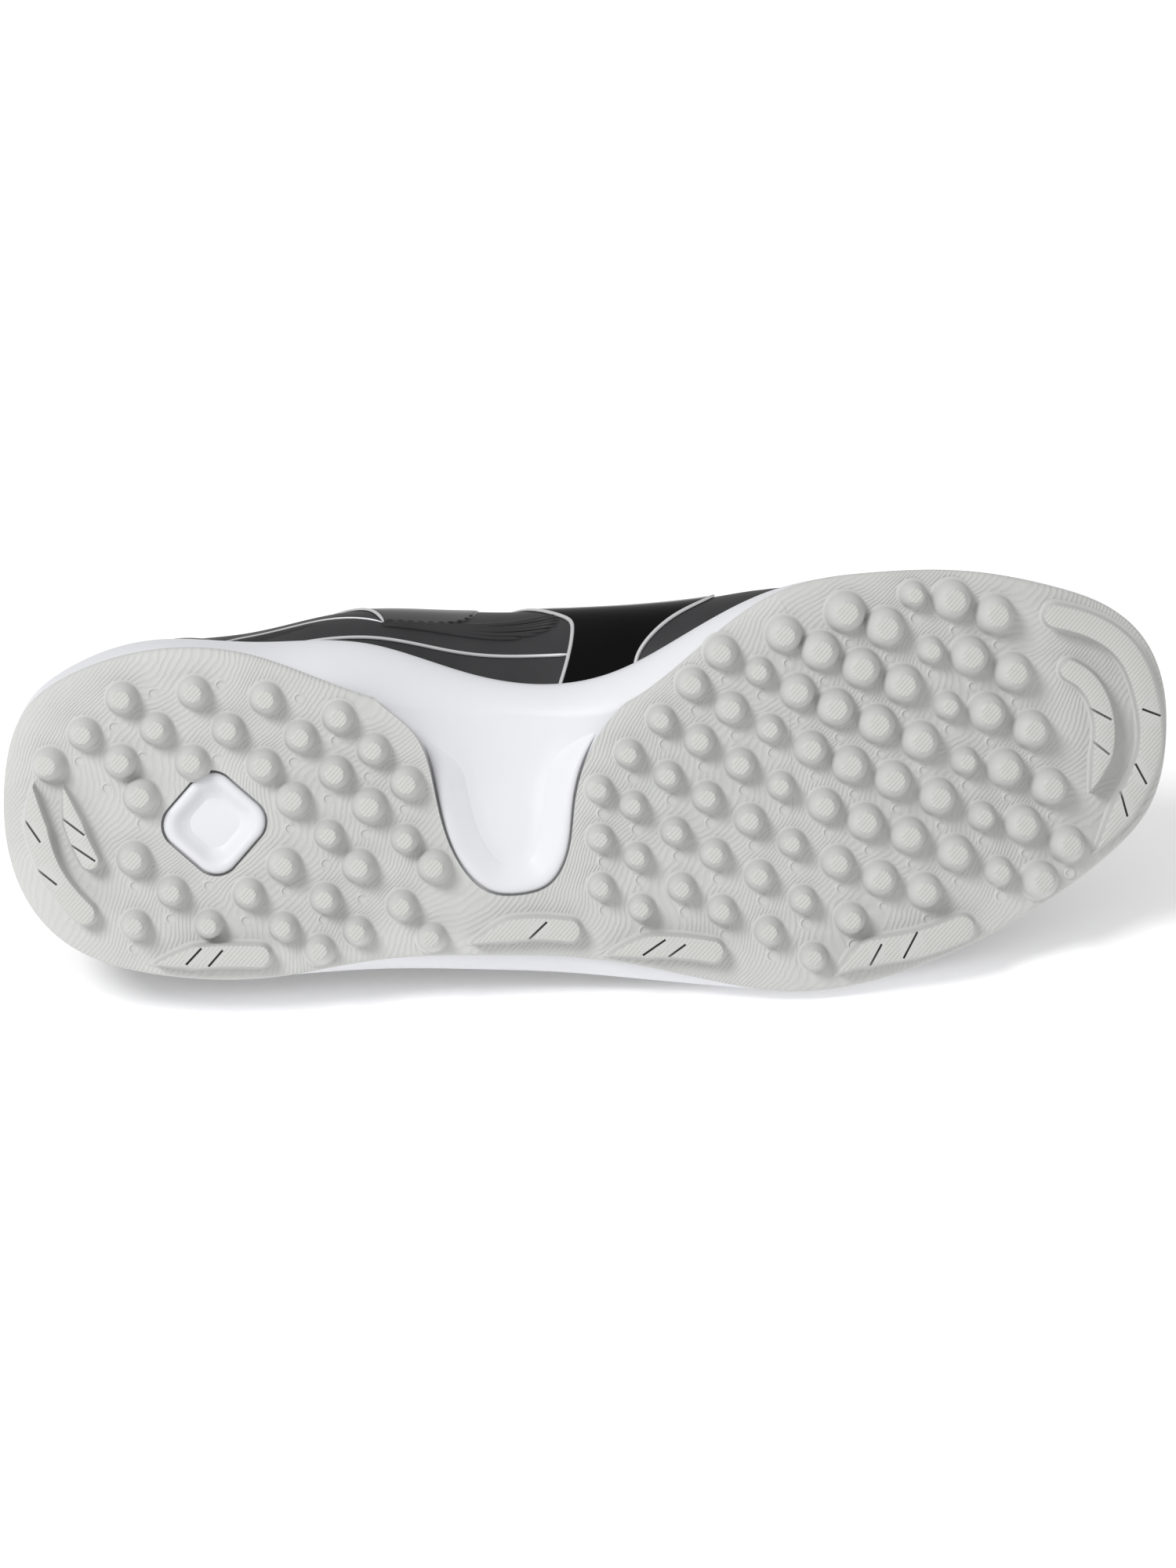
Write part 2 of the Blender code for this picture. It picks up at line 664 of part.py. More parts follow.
def upper_grid():
    """Outer face of the upper: places [side][station][level], lateral then medial."""
    along = shoe_stations()
    half = len(along) - 1
    feet = plan_ring(along, FOAM_COLUMNS, -(CUP_WALL + GAP))
    tangent = np.roll(feet, -1, axis=0) - np.roll(feet, 1, axis=0)
    tangent /= np.linalg.norm(tangent, axis=1)[:, None]
    normals = np.column_stack([-tangent[:, 1], tangent[:, 0]])
    normals[half] = (1.0, 0.0)
    normals[0] = (-1.0, 0.0)
    top_x = upper_column(1, along) * LENGTH
    top_z = upper_column(2, along) * COLLAR_HEIGHT
    spine = upper_column(3, along) * BALL_WIDTH
    closing = round_end((throat_foot() - along) / THROAT_ROUND)
    shoulder = upper_column(4, along) * BALL_WIDTH
    bulges = [upper_column(c, along) * BALL_WIDTH for c in (5, 6, 7, 8)]
    low_up = upper_column(9, along)
    high_up = upper_column(10, along)
    share = np.linspace(0, 1, WALL_LEVELS)
    grid = np.zeros((2, half + 1, WALL_LEVELS + 1, 3))
    for side in (0, 1):
        sign = 1 - 2 * side
        for i in range(half + 1):
            spot = i if side == 0 else -i
            x, y = feet[spot]
            out = np.array((*normals[spot], 0.0))
            up = np.array((0.0, 0.0, 1.0))
            foot = np.array((x, y, float(footbed(x)) + GAP))
            step = np.array((x, y, float(cup_rim(x, y))))
            top = np.array((top_x[i], spine[i] + sign * shoulder[i] * closing[i], top_z[i]))
            bend = np.array((top_x[i], spine[i] + sign * shoulder[i], top_z[i]))
            tall = top[2] - step[2]
            low_out = bulges[2 - 2 * side][i]
            high_out = bulges[3 - 2 * side][i]
            low = step + out * low_out + up * low_up[i] * tall
            high = bend + out * high_out + up * high_up[i] * tall
            s = share[:, None]
            wall = ((1 - s) ** 3 * step + 3 * s * (1 - s) ** 2 * low
                    + 3 * s ** 2 * (1 - s) * high + s ** 3 * top)
            grid[side, i, 0] = foot
            grid[side, i, 1:] = wall
    return grid


def add_wall(obj, thickness, offset):
    modifier = obj.modifiers.new("wall", "SOLIDIFY")
    modifier.thickness = thickness
    modifier.offset = offset
    modifier.use_even_offset = True
    modifier.use_rim = True


def make_upper(grid, parts, empty):
    bm = bmesh.new()
    sides = []
    for side in (0, 1):
        sides.append([[bm.verts.new(p) for p in row] for row in grid[side]])
    for side, rows in enumerate(sides):
        for near, far in zip(rows, rows[1:]):
            for k in range(len(near) - 1):
                for corners in ((near[k], near[k + 1], far[k + 1]),
                                (near[k], far[k + 1], far[k])):
                    bm.faces.new(corners[::-1] if side else corners)
    bmesh.ops.remove_doubles(bm, verts=bm.verts, dist=1e-6)
    upper = add_part("upper", mesh_from(bm, "upper"), parts, empty)
    add_wall(upper, UPPER_WALL, -1.0)


def unit(vector):
    return vector / np.linalg.norm(vector)


def edge_normal(grid, side, i, level):
    """Outward normal of the upper's outer face at one place."""
    last = grid.shape[1] - 1
    along = grid[side, min(i + 1, last), level] - grid[side, max(i - 1, 0), level]
    below = grid[side, i, level - 1]
    above = grid[side, min(i, last), min(level + 1, WALL_LEVELS)]
    normal = unit(np.cross(above - below, along))
    return normal if side == 0 else -normal


def throat_stations():
    """Stations from under the vamp back to the top of the throat, well spaced."""
    along = shoe_stations()
    top = upper_column(1, along)
    table = np.array(UPPER_PLAN)
    crest = table[np.argmax(table[:, 2]), 1]
    chosen = []
    for i in range(len(along) - 1, 0, -1):
        inside = crest - 0.001 <= top[i] <= THROAT_END + TONGUE_TUCK
        if inside and (not chosen or (top[chosen[-1]] - top[i]) * LENGTH > TONGUE_SPACING):
            chosen.append(i)
    return chosen


def tongue_crown(grid, i):
    """Rise of the tongue's middle over its sides at one station."""
    opening = grid[0, i, WALL_LEVELS, 1] - grid[1, i, WALL_LEVELS, 1]
    behind = THROAT_END - grid[0, i, WALL_LEVELS, 0] / LENGTH
    return TONGUE_ARCH * opening * smooth_step(behind / THROAT_ROUND - 0.3)


def tongue_row(grid, i):
    """Outer places of the tongue across one station, medial to lateral."""
    drop = UPPER_WALL + TONGUE_CLEAR
    sides = []
    for side in (1, 0):
        for level in (WALL_LEVELS - 1, WALL_LEVELS):
            place = grid[side, i, level] - edge_normal(grid, side, i, level) * drop
            sides.append(place)
    middle = (sides[1] + sides[3]) / 2
    middle[2] += tongue_crown(grid, i)
    knots = [sides[0], sides[1], middle, sides[3], sides[2]]
    if np.linalg.norm(sides[1] - sides[3]) < 4 * TONGUE_CLEAR:
        knots = [sides[0], middle, sides[2]]
    knots = np.array(knots)
    run = np.concatenate([[0.0], np.cumsum(np.linalg.norm(np.diff(knots, axis=0), axis=1))])
    at = run[-1] * np.linspace(0, 1, TONGUE_LANES + 1)
    return np.column_stack([curve_through(run, knots[:, c], at) for c in range(3)])


def tongue_rows(grid):
    rows = [tongue_row(grid, i) for i in throat_stations()]
    last = rows[-1]
    rise = unit(last.mean(axis=0) - rows[-3].mean(axis=0))
    centre = last.mean(axis=0)
    rows[-1] = centre + (last - centre) * TONGUE_TAPER
    for reach, width in TONGUE_END:
        spread = (last - centre) * width
        rows.append(centre + spread + rise * TONGUE_FREE * reach)
    return rows


def make_tongue(grid, parts, empty):
    bm = bmesh.new()
    rows = [[bm.verts.new(p) for p in row] for row in tongue_rows(grid)]
    for near, far in zip(rows, rows[1:]):
        for k in range(len(near) - 1):
            bm.faces.new((near[k], near[k + 1], far[k + 1], far[k]))
    bmesh.ops.triangulate(bm, faces=bm.faces)
    tongue = add_part("tongue", mesh_from(bm, "tongue"), parts, empty)
    add_wall(tongue, TONGUE_WALL, -1.0)


def throat_place(grid, side, x, level):
    """Place on the upper's outer face where a level crosses the section that tops at x."""
    tops = grid[side, :, WALL_LEVELS, 0]
    return np.array([np.interp(x, tops, grid[side, :, level, c]) for c in range(3)])


def eyelet_rows(grid):
    """Where along the throat the eyelet rows lie, from the bottom to the top."""
    tops = grid[0, :, WALL_LEVELS, 0]
    high = tops[throat_stations()[-1]] + EYELET_INSET
    low = (THROAT_END - THROAT_INSET) * LENGTH
    return np.linspace(low, high, LACE_ROWS)


def lace_end(grid, side, x):
    """Eyelet, throat edge and outward normal at one end of a lace run."""
    edge = throat_place(grid, side, x, WALL_LEVELS)
    below = throat_place(grid, side, x, WALL_LEVELS - 1)
    ahead = throat_place(grid, side, x + EYELET_INSET, WALL_LEVELS)
    normal = unit(np.cross(edge - below, ahead - edge))
    normal = normal if side == 0 else -normal
    lift = normal * (2 * GAP + LACE_THICK / 2)
    return edge + (below - edge) * EYELET_MARGIN + lift, edge + lift, normal


def lace_run(grid, start, end):
    """Places and normals of one lace run from side to side over the tongue."""
    near = lace_end(grid, *start)
    far = lace_end(grid, *end)
    across = np.linalg.norm(near[1] - far[1])
    up = unit(near[2] + far[2])
    middle = (near[1] + far[1]) / 2 + up * (LACE_OVER + TONGUE_ARCH * across)
    knots = np.array([near[0], near[1], middle, far[1], far[0]])
    normals = np.array([near[2], near[2], up, far[2], far[2]])
    run = np.concatenate([[0.0], np.cumsum(np.linalg.norm(np.diff(knots, axis=0), axis=1))])
    at = run[-1] * np.linspace(0, 1, LACE_STEPS + 1)
    path = np.column_stack([curve_through(run, knots[:, c], at) for c in range(3)])
    facing = np.column_stack([np.interp(at, run, normals[:, c]) for c in range(3)])
    return path, facing


def lace_mesh(name, path, facing):
    """A flat lace along a path, with closed ends."""
    bm = bmesh.new()
    tangents = np.gradient(path, axis=0)
    rings = []
    for place, tangent, normal in zip(path, tangents, facing):
        wide = unit(np.cross(tangent, normal)) * LACE_WIDTH / 2
        thick = unit(np.cross(wide, tangent)) * LACE_THICK / 2
        flat = wide * LACE_ROUND
        section = (wide, flat + thick, thick - flat, -wide, -flat - thick, flat - thick)
        rings.append([bm.verts.new(place + offset) for offset in section])
    for near, far in zip(rings, rings[1:]):
        join_rings(bm, near, far)
    bm.faces.new(rings[0])
    bm.faces.new(rings[-1])
    bmesh.ops.recalc_face_normals(bm, faces=bm.faces)
    bmesh.ops.triangulate(bm, faces=bm.faces)
    return mesh_from(bm, name)


def make_lace(grid, parts, cutters, empty):
    """A bar over the throat's front end, then crossings, each joined in its middle."""
    rows = eyelet_rows(grid)
    spare = (rows[0] - rows[1]) * LACE_SPARE
    path, facing = lace_run(grid, (0, rows[0] + spare), (1, rows[0] + spare))
    add_part("lace_bar", lace_mesh("lace_bar", path, facing), parts, empty)
    for number, (low, high) in enumerate(zip(rows, rows[1:]), 1):
        low, high = low - spare, high + spare
        name = f"lace_cross_{number}"
        path, facing = lace_run(grid, (0, low), (1, high))
        cross = add_part(name, lace_mesh(name, path, facing), parts, empty)
        path, facing = lace_run(grid, (1, low), (0, high))
        under = add_cutter(name + "_under", lace_mesh(name + "_under", path, facing),
                           cutters, empty)
        add_boolean(cross, under, "UNION")


def lying_pose(parts):
    """The turn and shift that lay the shoe on its lateral side, at rest."""
    bpy.context.view_layer.update()
    depsgraph = bpy.context.evaluated_depsgraph_get()
    hull = bmesh.new()
    weight = 0.0
    centre = Vector()
    for obj in parts.objects:
        if obj.type != "MESH":
            continue
        mesh = obj.evaluated_get(depsgraph).to_mesh()
        mesh.calc_loop_triangles()
        for triangle in mesh.loop_triangles:
            a, b, c = (mesh.vertices[i].co for i in triangle.vertices)
            volume = a.dot(b.cross(c)) / 6
            weight += volume
            centre += (a + b + c) / 4 * volume
        for vertex in mesh.vertices:
            hull.verts.new(vertex.co)
    centre /= weight
    bmesh.ops.convex_hull(hull, input=hull.verts, use_existing_faces=False)
    bmesh.ops.dissolve_limit(hull, angle_limit=math.radians(0.01), verts=hull.verts,
                             edges=hull.edges)
    bmesh.ops.recalc_face_normals(hull, faces=hull.faces)
    best = None
    for face in hull.faces:
        if face.normal.y < 0.8:
            continue
        drop = face.normal.dot(face.verts[0].co - centre)
        foot = centre + face.normal * drop
        inside = all(face.normal.dot((loop.link_loop_next.vert.co - loop.vert.co)
                                     .cross(foot - loop.vert.co)) >= 0 for loop in face.loops)
        if inside and (best is None or drop < best[0]):
            best = (drop, face.normal.copy())
    up = -best[1]
    forward = (Vector((1, 0, 0)) - up * up.x).normalized()
    turn = Matrix((forward, up.cross(forward), up))
    corners = [turn @ vertex.co for vertex in hull.verts]
    hull.free()
    low = [min(c[k] for c in corners) for k in range(3)]
    high = [max(c[k] for c in corners) for k in range(3)]
    shift = Vector((-(low[0] + high[0]) / 2, -(low[1] + high[1]) / 2, -low[2]))
    return Matrix.Translation(shift) @ turn.to_4x4()


def main():
    clear_scene()
    parts = new_collection("turf_shoe")
    cutters = new_collection("cutters")
    empty = bpy.data.objects.new("lying_pose", None)
    parts.objects.link(empty)
    make_outsole(parts, cutters, empty)
    make_midsole(parts, cutters, empty)
    make_insole(parts, empty)
    grid = upper_grid()
    make_upper(grid, parts, empty)
    make_tongue(grid, parts, empty)
    make_lace(grid, parts, cutters, empty)
    empty.matrix_world = lying_pose(parts)


main()
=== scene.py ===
# A left turf shoe lying on its lateral side, seen from under its studded sole.
# The shoe is modelled standing: x runs from heel back to toe tip, y to the lateral
# side, z up. POSE then lays each piece on its side, as the frame has it.

import json
import math

import bmesh
import bpy
import numpy as np
from mathutils import Matrix, Vector


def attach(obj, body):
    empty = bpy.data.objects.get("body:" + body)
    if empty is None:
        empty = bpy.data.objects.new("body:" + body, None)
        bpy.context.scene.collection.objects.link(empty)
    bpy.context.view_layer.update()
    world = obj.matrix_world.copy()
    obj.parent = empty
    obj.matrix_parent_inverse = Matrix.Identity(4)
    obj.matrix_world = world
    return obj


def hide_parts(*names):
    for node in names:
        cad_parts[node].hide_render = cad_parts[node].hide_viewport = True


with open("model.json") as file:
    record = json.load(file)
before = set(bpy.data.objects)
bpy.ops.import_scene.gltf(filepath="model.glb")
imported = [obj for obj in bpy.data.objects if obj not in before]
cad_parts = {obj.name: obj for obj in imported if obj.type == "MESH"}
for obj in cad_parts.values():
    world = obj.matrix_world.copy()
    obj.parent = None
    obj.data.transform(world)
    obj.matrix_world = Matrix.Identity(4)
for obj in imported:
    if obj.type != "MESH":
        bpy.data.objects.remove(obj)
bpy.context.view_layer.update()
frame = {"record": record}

# Sizes of the shoe, in metres
LENGTH = 0.285
BALL_WIDTH = 0.101
GAP = 0.0003
STUD_HEIGHT = 0.006
LUG_HEIGHT = 0.0048
TOE_SPRING = 0.0135
HEEL_BEVEL = 0.0028
RUBBER = 0.0022
FOAM_HEEL = 0.0135
FOAM_FORE = 0.007
CUP_DEPTH = 0.0052
CUP_WALL = 0.0046
ARCH_LIFT = 0.007
ARCH_RISE = 0.003
INSOLE = 0.003
UPPER_WALL = 0.0022
COLLAR_HEIGHT = 0.073
THROAT_END = 0.62
THROAT_ROUND = 0.045
TONGUE_CLEAR = 0.0010
TONGUE_ARCH = 0.12
TONGUE_FREE = 0.016
TONGUE_THICK = 0.0035
LACE_ROWS = 6
LACE_WIDTH = 0.0048
LACE_THICK = 0.0014
LACE_STEPS = 44
EYELET_LEVEL = 0.914
WINDOW_SIDE = 0.0215
WINDOW_CORNER = 0.0055
WINDOW_PLACE = (0.180, 0.050)
WINDOW_TURN = math.radians(44.0)

# Columns: along, rubber medial, rubber lateral, foam medial, foam lateral
SOLE_PLAN = (
    (0.000, 0.020, 0.020, 0.020, 0.020),
    (0.015, -0.206, 0.212, -0.216, 0.218),
    (0.057, -0.316, 0.342, -0.330, 0.348),
    (0.140, -0.376, 0.418, -0.391, 0.424),
    (0.228, -0.342, 0.430, -0.371, 0.438),
    (0.320, -0.233, 0.401, -0.352, 0.437),
    (0.405, -0.185, 0.405, -0.266, 0.451),
    (0.465, -0.170, 0.416, -0.233, 0.465),
    (0.527, -0.178, 0.444, -0.256, 0.488),
    (0.590, -0.289, 0.490, -0.340, 0.513),
    (0.660, -0.423, 0.530, -0.430, 0.534),
    (0.744, -0.469, 0.511, -0.463, 0.515),
    (0.825, -0.462, 0.438, -0.458, 0.442),
    (0.902, -0.412, 0.329, -0.411, 0.333),
    (0.955, -0.348, 0.224, -0.348, 0.228),
    (0.988, -0.246, 0.104, -0.246, 0.106),
    (1.000, -0.094, -0.094, -0.094, -0.094),
)
RUBBER_COLUMNS = (1, 2)
FOAM_COLUMNS = (3, 4)

# Columns: along, across
ARCH_NOTCH = (
    (0.300, -0.420),
    (0.322, -0.230),
    (0.353, -0.144),
    (0.369, 0.004),
    (0.388, 0.186),
    (0.412, 0.254),
    (0.438, 0.263),
    (0.462, 0.244),
    (0.478, 0.184),
    (0.488, 0.049),
    (0.501, -0.064),
    (0.529, -0.171),
    (0.588, -0.289),
    (0.640, -0.430),
)

# Columns: along, across, step along, step across, count, first radius, last radius
FORE_STUDS = (
    (0.784, -0.412, 0.0124, 0.1360, 6, 0.0116, 0.0126),
    (0.817, -0.394, 0.0129, 0.1380, 6, 0.0172, 0.0161),
    (0.853, -0.352, 0.0133, 0.1415, 5, 0.0172, 0.0161),
    (0.759, -0.337, 0.0126, 0.1386, 5, 0.0175, 0.0158),
    (0.726, -0.379, 0.0111, 0.1365, 6, 0.0175, 0.0154),
    (0.703, -0.290, 0.0103, 0.1391, 5, 0.0170, 0.0154),
    (0.673, -0.334, 0.0089, 0.1388, 6, 0.0158, 0.0137),
    (0.650, -0.249, 0.0069, 0.1390, 6, 0.0123, 0.0119),
    (0.619, -0.299, 0.0057, 0.1355, 6, 0.0147, 0.0126),
    (0.593, -0.227, 0.0038, 0.1372, 5, 0.0140, 0.0126),
    (0.565, -0.145, 0.0033, 0.1357, 4, 0.0123, 0.0123),
    (0.536, -0.067, 0.0013, 0.1244, 4, 0.0123, 0.0116),
    (0.509, 0.015, -0.0012, 0.1178, 3, 0.0119, 0.0116),
)

# Columns: first along, first across, last along, last across, sag, count, place left
# out for the window, radius
HEEL_STUDS = (
    (0.108, -0.263, 0.291, -0.191, -0.034, 4, -1, 0.0140),
    (0.074, -0.183, 0.319, -0.109, -0.029, 5, -1, 0.0140),
    (0.043, -0.113, 0.346, -0.024, -0.025, 6, -1, 0.0147),
    (0.119, -0.026, 0.313, 0.026, -0.008, 4, 1, 0.0154),
    (0.277, 0.090, 0.342, 0.111, 0.000, 2, -1, 0.0126),
    (0.110, 0.124, 0.365, 0.180, 0.006, 5, 1, 0.0147),
    (0.141, 0.208, 0.336, 0.270, -0.006, 4, -1, 0.0133),
    (0.108, 0.283, 0.360, 0.351, -0.010, 5, -1, 0.0126),
    (0.264, 0.367, 0.264, 0.367, 0.000, 1, -1, 0.0130),
)
STUD_TIP = 0.53

# Columns: half width, pointed start, spine of (along, across) places
LUGS = (
    (0.0102, 0.035, ((0.122, 0.379), (0.152, 0.368), (0.223, 0.374))),
    (0.0102, 0.035, ((0.393, 0.370), (0.420, 0.345), (0.488, 0.354))),
    (0.0102, 0.035, ((0.509, 0.415), (0.536, 0.400), (0.609, 0.424))),
    (0.0119, 0.032, ((0.704, 0.490), (0.719, 0.458), (0.766, 0.431), (0.824, 0.386))),
    (0.0109, 0.042, ((0.931, 0.236), (0.962, 0.118), (0.982, 0.004), (0.982, -0.123),
                     (0.964, -0.252), (0.931, -0.318), (0.895, -0.348))),
    (0.0098, 0.032, ((0.929, 0.090), (0.943, -0.023), (0.942, -0.112),
                     (0.929, -0.182), (0.908, -0.221))),
    (0.0105, 0.035, ((0.028, -0.068), (0.028, 0.000), (0.032, 0.080), (0.041, 0.152),
                     (0.055, 0.212), (0.073, 0.268))),
    (0.0091, 0.032, ((0.054, -0.064), (0.058, -0.006), (0.063, 0.051),
                     (0.077, 0.143))),
)

# Thin cuts across the lugs, from (along, across) to (along, across)
SIPES = (
    (0.164, 0.345, 0.150, 0.383),
    (0.182, 0.352, 0.169, 0.390),
    (0.459, 0.325, 0.441, 0.369),
    (0.559, 0.383, 0.539, 0.418),
    (0.576, 0.397, 0.558, 0.430),
    (0.743, 0.422, 0.730, 0.482),
    (0.774, 0.398, 0.761, 0.460),
    (0.017, 0.002, 0.032, 0.071),
    (0.021, 0.118, 0.044, 0.175),
    (0.052, 0.015, 0.070, 0.058),
    (0.054, 0.071, 0.078, 0.122),
    (0.928, -0.120, 0.950, -0.082),
    (0.931, -0.038, 0.947, 0.002),
    (0.977, -0.103, 0.993, -0.083),
    (0.969, 0.028, 0.978, 0.080),
    (0.955, 0.094, 0.960, 0.155),
)

# Small moulded rings of the heel, between the studs. Columns: along, across
HEEL_RINGS = (
    (0.134, -0.271), (0.192, -0.283), (0.258, -0.241), (0.099, -0.195), (0.122, -0.120),
    (0.185, -0.105), (0.250, -0.088), (0.287, -0.135), (0.313, -0.044), (0.278, 0.005),
    (0.342, 0.039), (0.244, 0.072), (0.308, 0.094), (0.273, 0.161), (0.238, 0.222),
    (0.302, 0.251), (0.268, 0.296), (0.202, 0.289), (0.138, 0.274), (0.109, 0.190),
    (0.172, 0.199), (0.118, 0.040), (0.090, -0.049), (0.068, -0.117), (0.105, 0.342),
)

# Columns: foot, top, height, spine, shoulder, medial low, medial high, lateral low,
# lateral high, low up, high up
UPPER_PLAN = (
    (0.000, 0.036, 1.000, 0.020, 0.000, 0.045, 0.060, 0.045, 0.060, 0.34, -0.36),
    (0.057, 0.066, 0.930, 0.020, 0.215, 0.050, 0.070, 0.055, 0.085, 0.34, -0.36),
    (0.160, 0.150, 0.840, 0.018, 0.300, 0.070, 0.085, 0.085, 0.130, 0.34, -0.36),
    (0.260, 0.232, 0.875, 0.012, 0.300, 0.115, 0.130, 0.050, 0.110, 0.30, -0.34),
    (0.340, 0.300, 0.985, 0.000, 0.265, 0.190, 0.205, 0.050, 0.140, 0.28, -0.32),
    (0.410, 0.358, 1.100, -0.012, 0.215, 0.235, 0.260, 0.060, 0.200, 0.26, -0.28),
    (0.480, 0.425, 1.060, -0.020, 0.170, 0.255, 0.290, 0.060, 0.220, 0.26, -0.22),
    (0.560, 0.510, 0.950, -0.028, 0.135, 0.230, 0.325, 0.050, 0.195, 0.30, -0.14),
    (0.640, 0.590, 0.855, -0.034, 0.115, 0.130, 0.250, 0.045, 0.170, 0.36, -0.05),
    (0.670, 0.620, 0.825, -0.036, 0.110, 0.110, 0.230, 0.045, 0.185, 0.38, -0.02),
    (0.740, 0.696, 0.765, -0.042, 0.100, 0.065, 0.175, 0.040, 0.175, 0.42, 0.00),
    (0.830, 0.790, 0.710, -0.052, 0.085, 0.040, 0.140, 0.035, 0.155, 0.48, 0.00),
    (0.930, 0.878, 0.670, -0.068, 0.055, 0.030, 0.120, 0.030, 0.125, 0.55, 0.00),
    (1.000, 0.912, 0.655, -0.078, 0.000, 0.018, 0.130, 0.018, 0.130, 0.55, 0.00),
)
MEDIAL, LATERAL = 1, 0
BOTH_SIDES = (MEDIAL, LATERAL)


# Curves and heights of the shoe

def curve_through(knots, values, at):
    """A natural cubic curve through the values."""
    knots = np.asarray(knots, float)
    values = np.asarray(values, float)
    gaps = np.diff(knots)
    slopes = np.diff(values) / gaps
    count = len(knots)
    system = np.eye(count)
    target = np.zeros(count)
    for i in range(1, count - 1):
        system[i, i - 1:i + 2] = gaps[i - 1], 2 * (gaps[i - 1] + gaps[i]), gaps[i]
        target[i] = 6 * (slopes[i] - slopes[i - 1])
    bend = np.linalg.solve(system, target)
    at = np.asarray(at, float)
    cell = np.clip(np.searchsorted(knots, at) - 1, 0, count - 2)
    width = gaps[cell]
    after = (at - knots[cell]) / width
    before = 1 - after
    curl = (before ** 3 - before) * bend[cell] + (after ** 3 - after) * bend[cell + 1]
    return before * values[cell] + after * values[cell + 1] + curl * width ** 2 / 6


def run_of(points):
    """Distance along a line at each of its points."""
    return np.concatenate([[0.0], np.cumsum(np.linalg.norm(np.diff(points, axis=0), axis=1))])


def path_through(points, count):
    """Evenly spaced places on a smooth line through the points."""
    points = np.asarray(points, float)
    run = run_of(points)
    at = run[-1] * np.linspace(0, 1, count)
    return np.column_stack([curve_through(run, column, at) for column in points.T])


def read_along(at, run, rows):
    """Values between the rows that stand at the places of a run."""
    return np.column_stack([np.interp(at, run, column) for column in rows.T])


def smooth_step(value):
    value = np.clip(value, 0.0, 1.0)
    return value * value * (3 - 2 * value)


def hump(value, centre, width):
    return np.exp(-((value - centre) / width) ** 2)


def unit(vectors):
    return vectors / np.maximum(np.linalg.norm(vectors, axis=-1, keepdims=True), 1e-12)


def left_of(ways):
    """Unit steps to the left of each way in the plan."""
    ways = unit(ways)
    return np.column_stack([-ways[:, 1], ways[:, 0]])


def left_of_loop(loop):
    return left_of(np.roll(loop, -1, axis=0) - np.roll(loop, 1, axis=0))


def turn_of(along):
    return np.arccos(np.clip(1 - 2 * np.asarray(along, float), -1.0, 1.0))


def sole_edges(along, columns):
    table = np.array(SOLE_PLAN)
    turns = turn_of(table[:, 0])
    return [curve_through(turns, table[:, c], turn_of(along)) * BALL_WIDTH for c in columns]


def ground(x):
    """Height of the rubber's under face over the plane of the stud tips."""
    toe = np.clip((x / LENGTH - 0.66) / 0.34, 0.0, 1.1)
    heel = np.clip(1 - x / LENGTH / 0.10, 0.0, 1.1)
    return STUD_HEIGHT + TOE_SPRING * toe ** 1.8 + HEEL_BEVEL * heel ** 2


def ground_slope(x):
    step = 0.001
    return np.arctan((ground(x + step) - ground(x - step)) / (2 * step))


def foam_under(x, y):
    across = y / BALL_WIDTH
    centre = 0.430 + 0.03 * across
    half = 0.055 + 0.085 * np.clip(0.26 - across, 0.0, 0.6) / 0.5
    inside = np.clip(1 - ((x / LENGTH - centre) / half) ** 2, 0.0, 1.0)
    rise = smooth_step((0.22 - across) / 0.42)
    return ground(x) + RUBBER + GAP + ARCH_LIFT * inside ** 1.5 * rise


def footbed(x):
    ramp = smooth_step((x / LENGTH - 0.22) / 0.44)
    return ground(x) + RUBBER + GAP + FOAM_HEEL + (FOAM_FORE - FOAM_HEEL) * ramp


def cup_rim(x, y):
    arch = hump(x / LENGTH, 0.45, 0.13) * smooth_step(-y / BALL_WIDTH / 0.1)
    return footbed(x) + CUP_DEPTH + ARCH_RISE * arch


def ring_stations(count):
    return (1 - np.cos(np.pi * np.arange(count + 1) / count)) / 2


def throat_foot():
    table = np.array(UPPER_PLAN)
    return float(np.interp(THROAT_END, table[:, 1], table[:, 0]))


def shoe_stations(behind, ahead):
    split = throat_foot()
    front = np.sin(np.linspace(0, np.pi / 2, ahead + 1))[1:]
    return np.concatenate([split * ring_stations(behind), split + (1 - split) * front])


def plan_ring(along, columns, out=0.0):
    """Loop of plan points: heel back, lateral side, toe tip, medial side."""
    medial, lateral = sole_edges(along, columns)
    x = along * LENGTH
    loop = np.concatenate([np.column_stack([x, lateral]), np.column_stack([x, medial])[-2:0:-1]])
    return loop + left_of_loop(loop) * out


def upper_column(column, along):
    table = np.array(UPPER_PLAN)
    return curve_through(turn_of(table[:, 0]), table[:, column], turn_of(along))


# The pose: the two studs that carry the record's mounts tell how the shoe lies

HEEL_REST = (0.0986, -0.0024)
FOREFOOT_REST = (0.1943, -0.0197)


def stud_tip(x, y):
    """Centre of a stud's flat end and the way it faces."""
    turn = float(ground_slope(x))
    way = Vector((math.sin(turn), 0.0, -math.cos(turn)))
    return Vector((x, y, float(ground(x)))) + way * STUD_HEIGHT, way


def triad(line, way):
    side = line.cross(way).normalized()
    way = way.normalized()
    return Matrix((way.cross(side), side, way)).transposed()


def stand_to_row():
    rests = {mount["name"]: mount for mount in frame["record"]["mounts"]}
    heel_row = Vector(rests["heel_rest"]["pos_m"])
    line_row = Vector(rests["forefoot_rest"]["pos_m"]) - heel_row
    heel, way = stud_tip(*HEEL_REST)
    line = stud_tip(*FOREFOOT_REST)[0] - heel
    turn = triad(line_row, Vector(rests["heel_rest"]["axis"])) @ triad(line, way).transposed()
    return Matrix.Translation(heel_row - turn @ heel) @ turn.to_4x4()


POSE = stand_to_row()


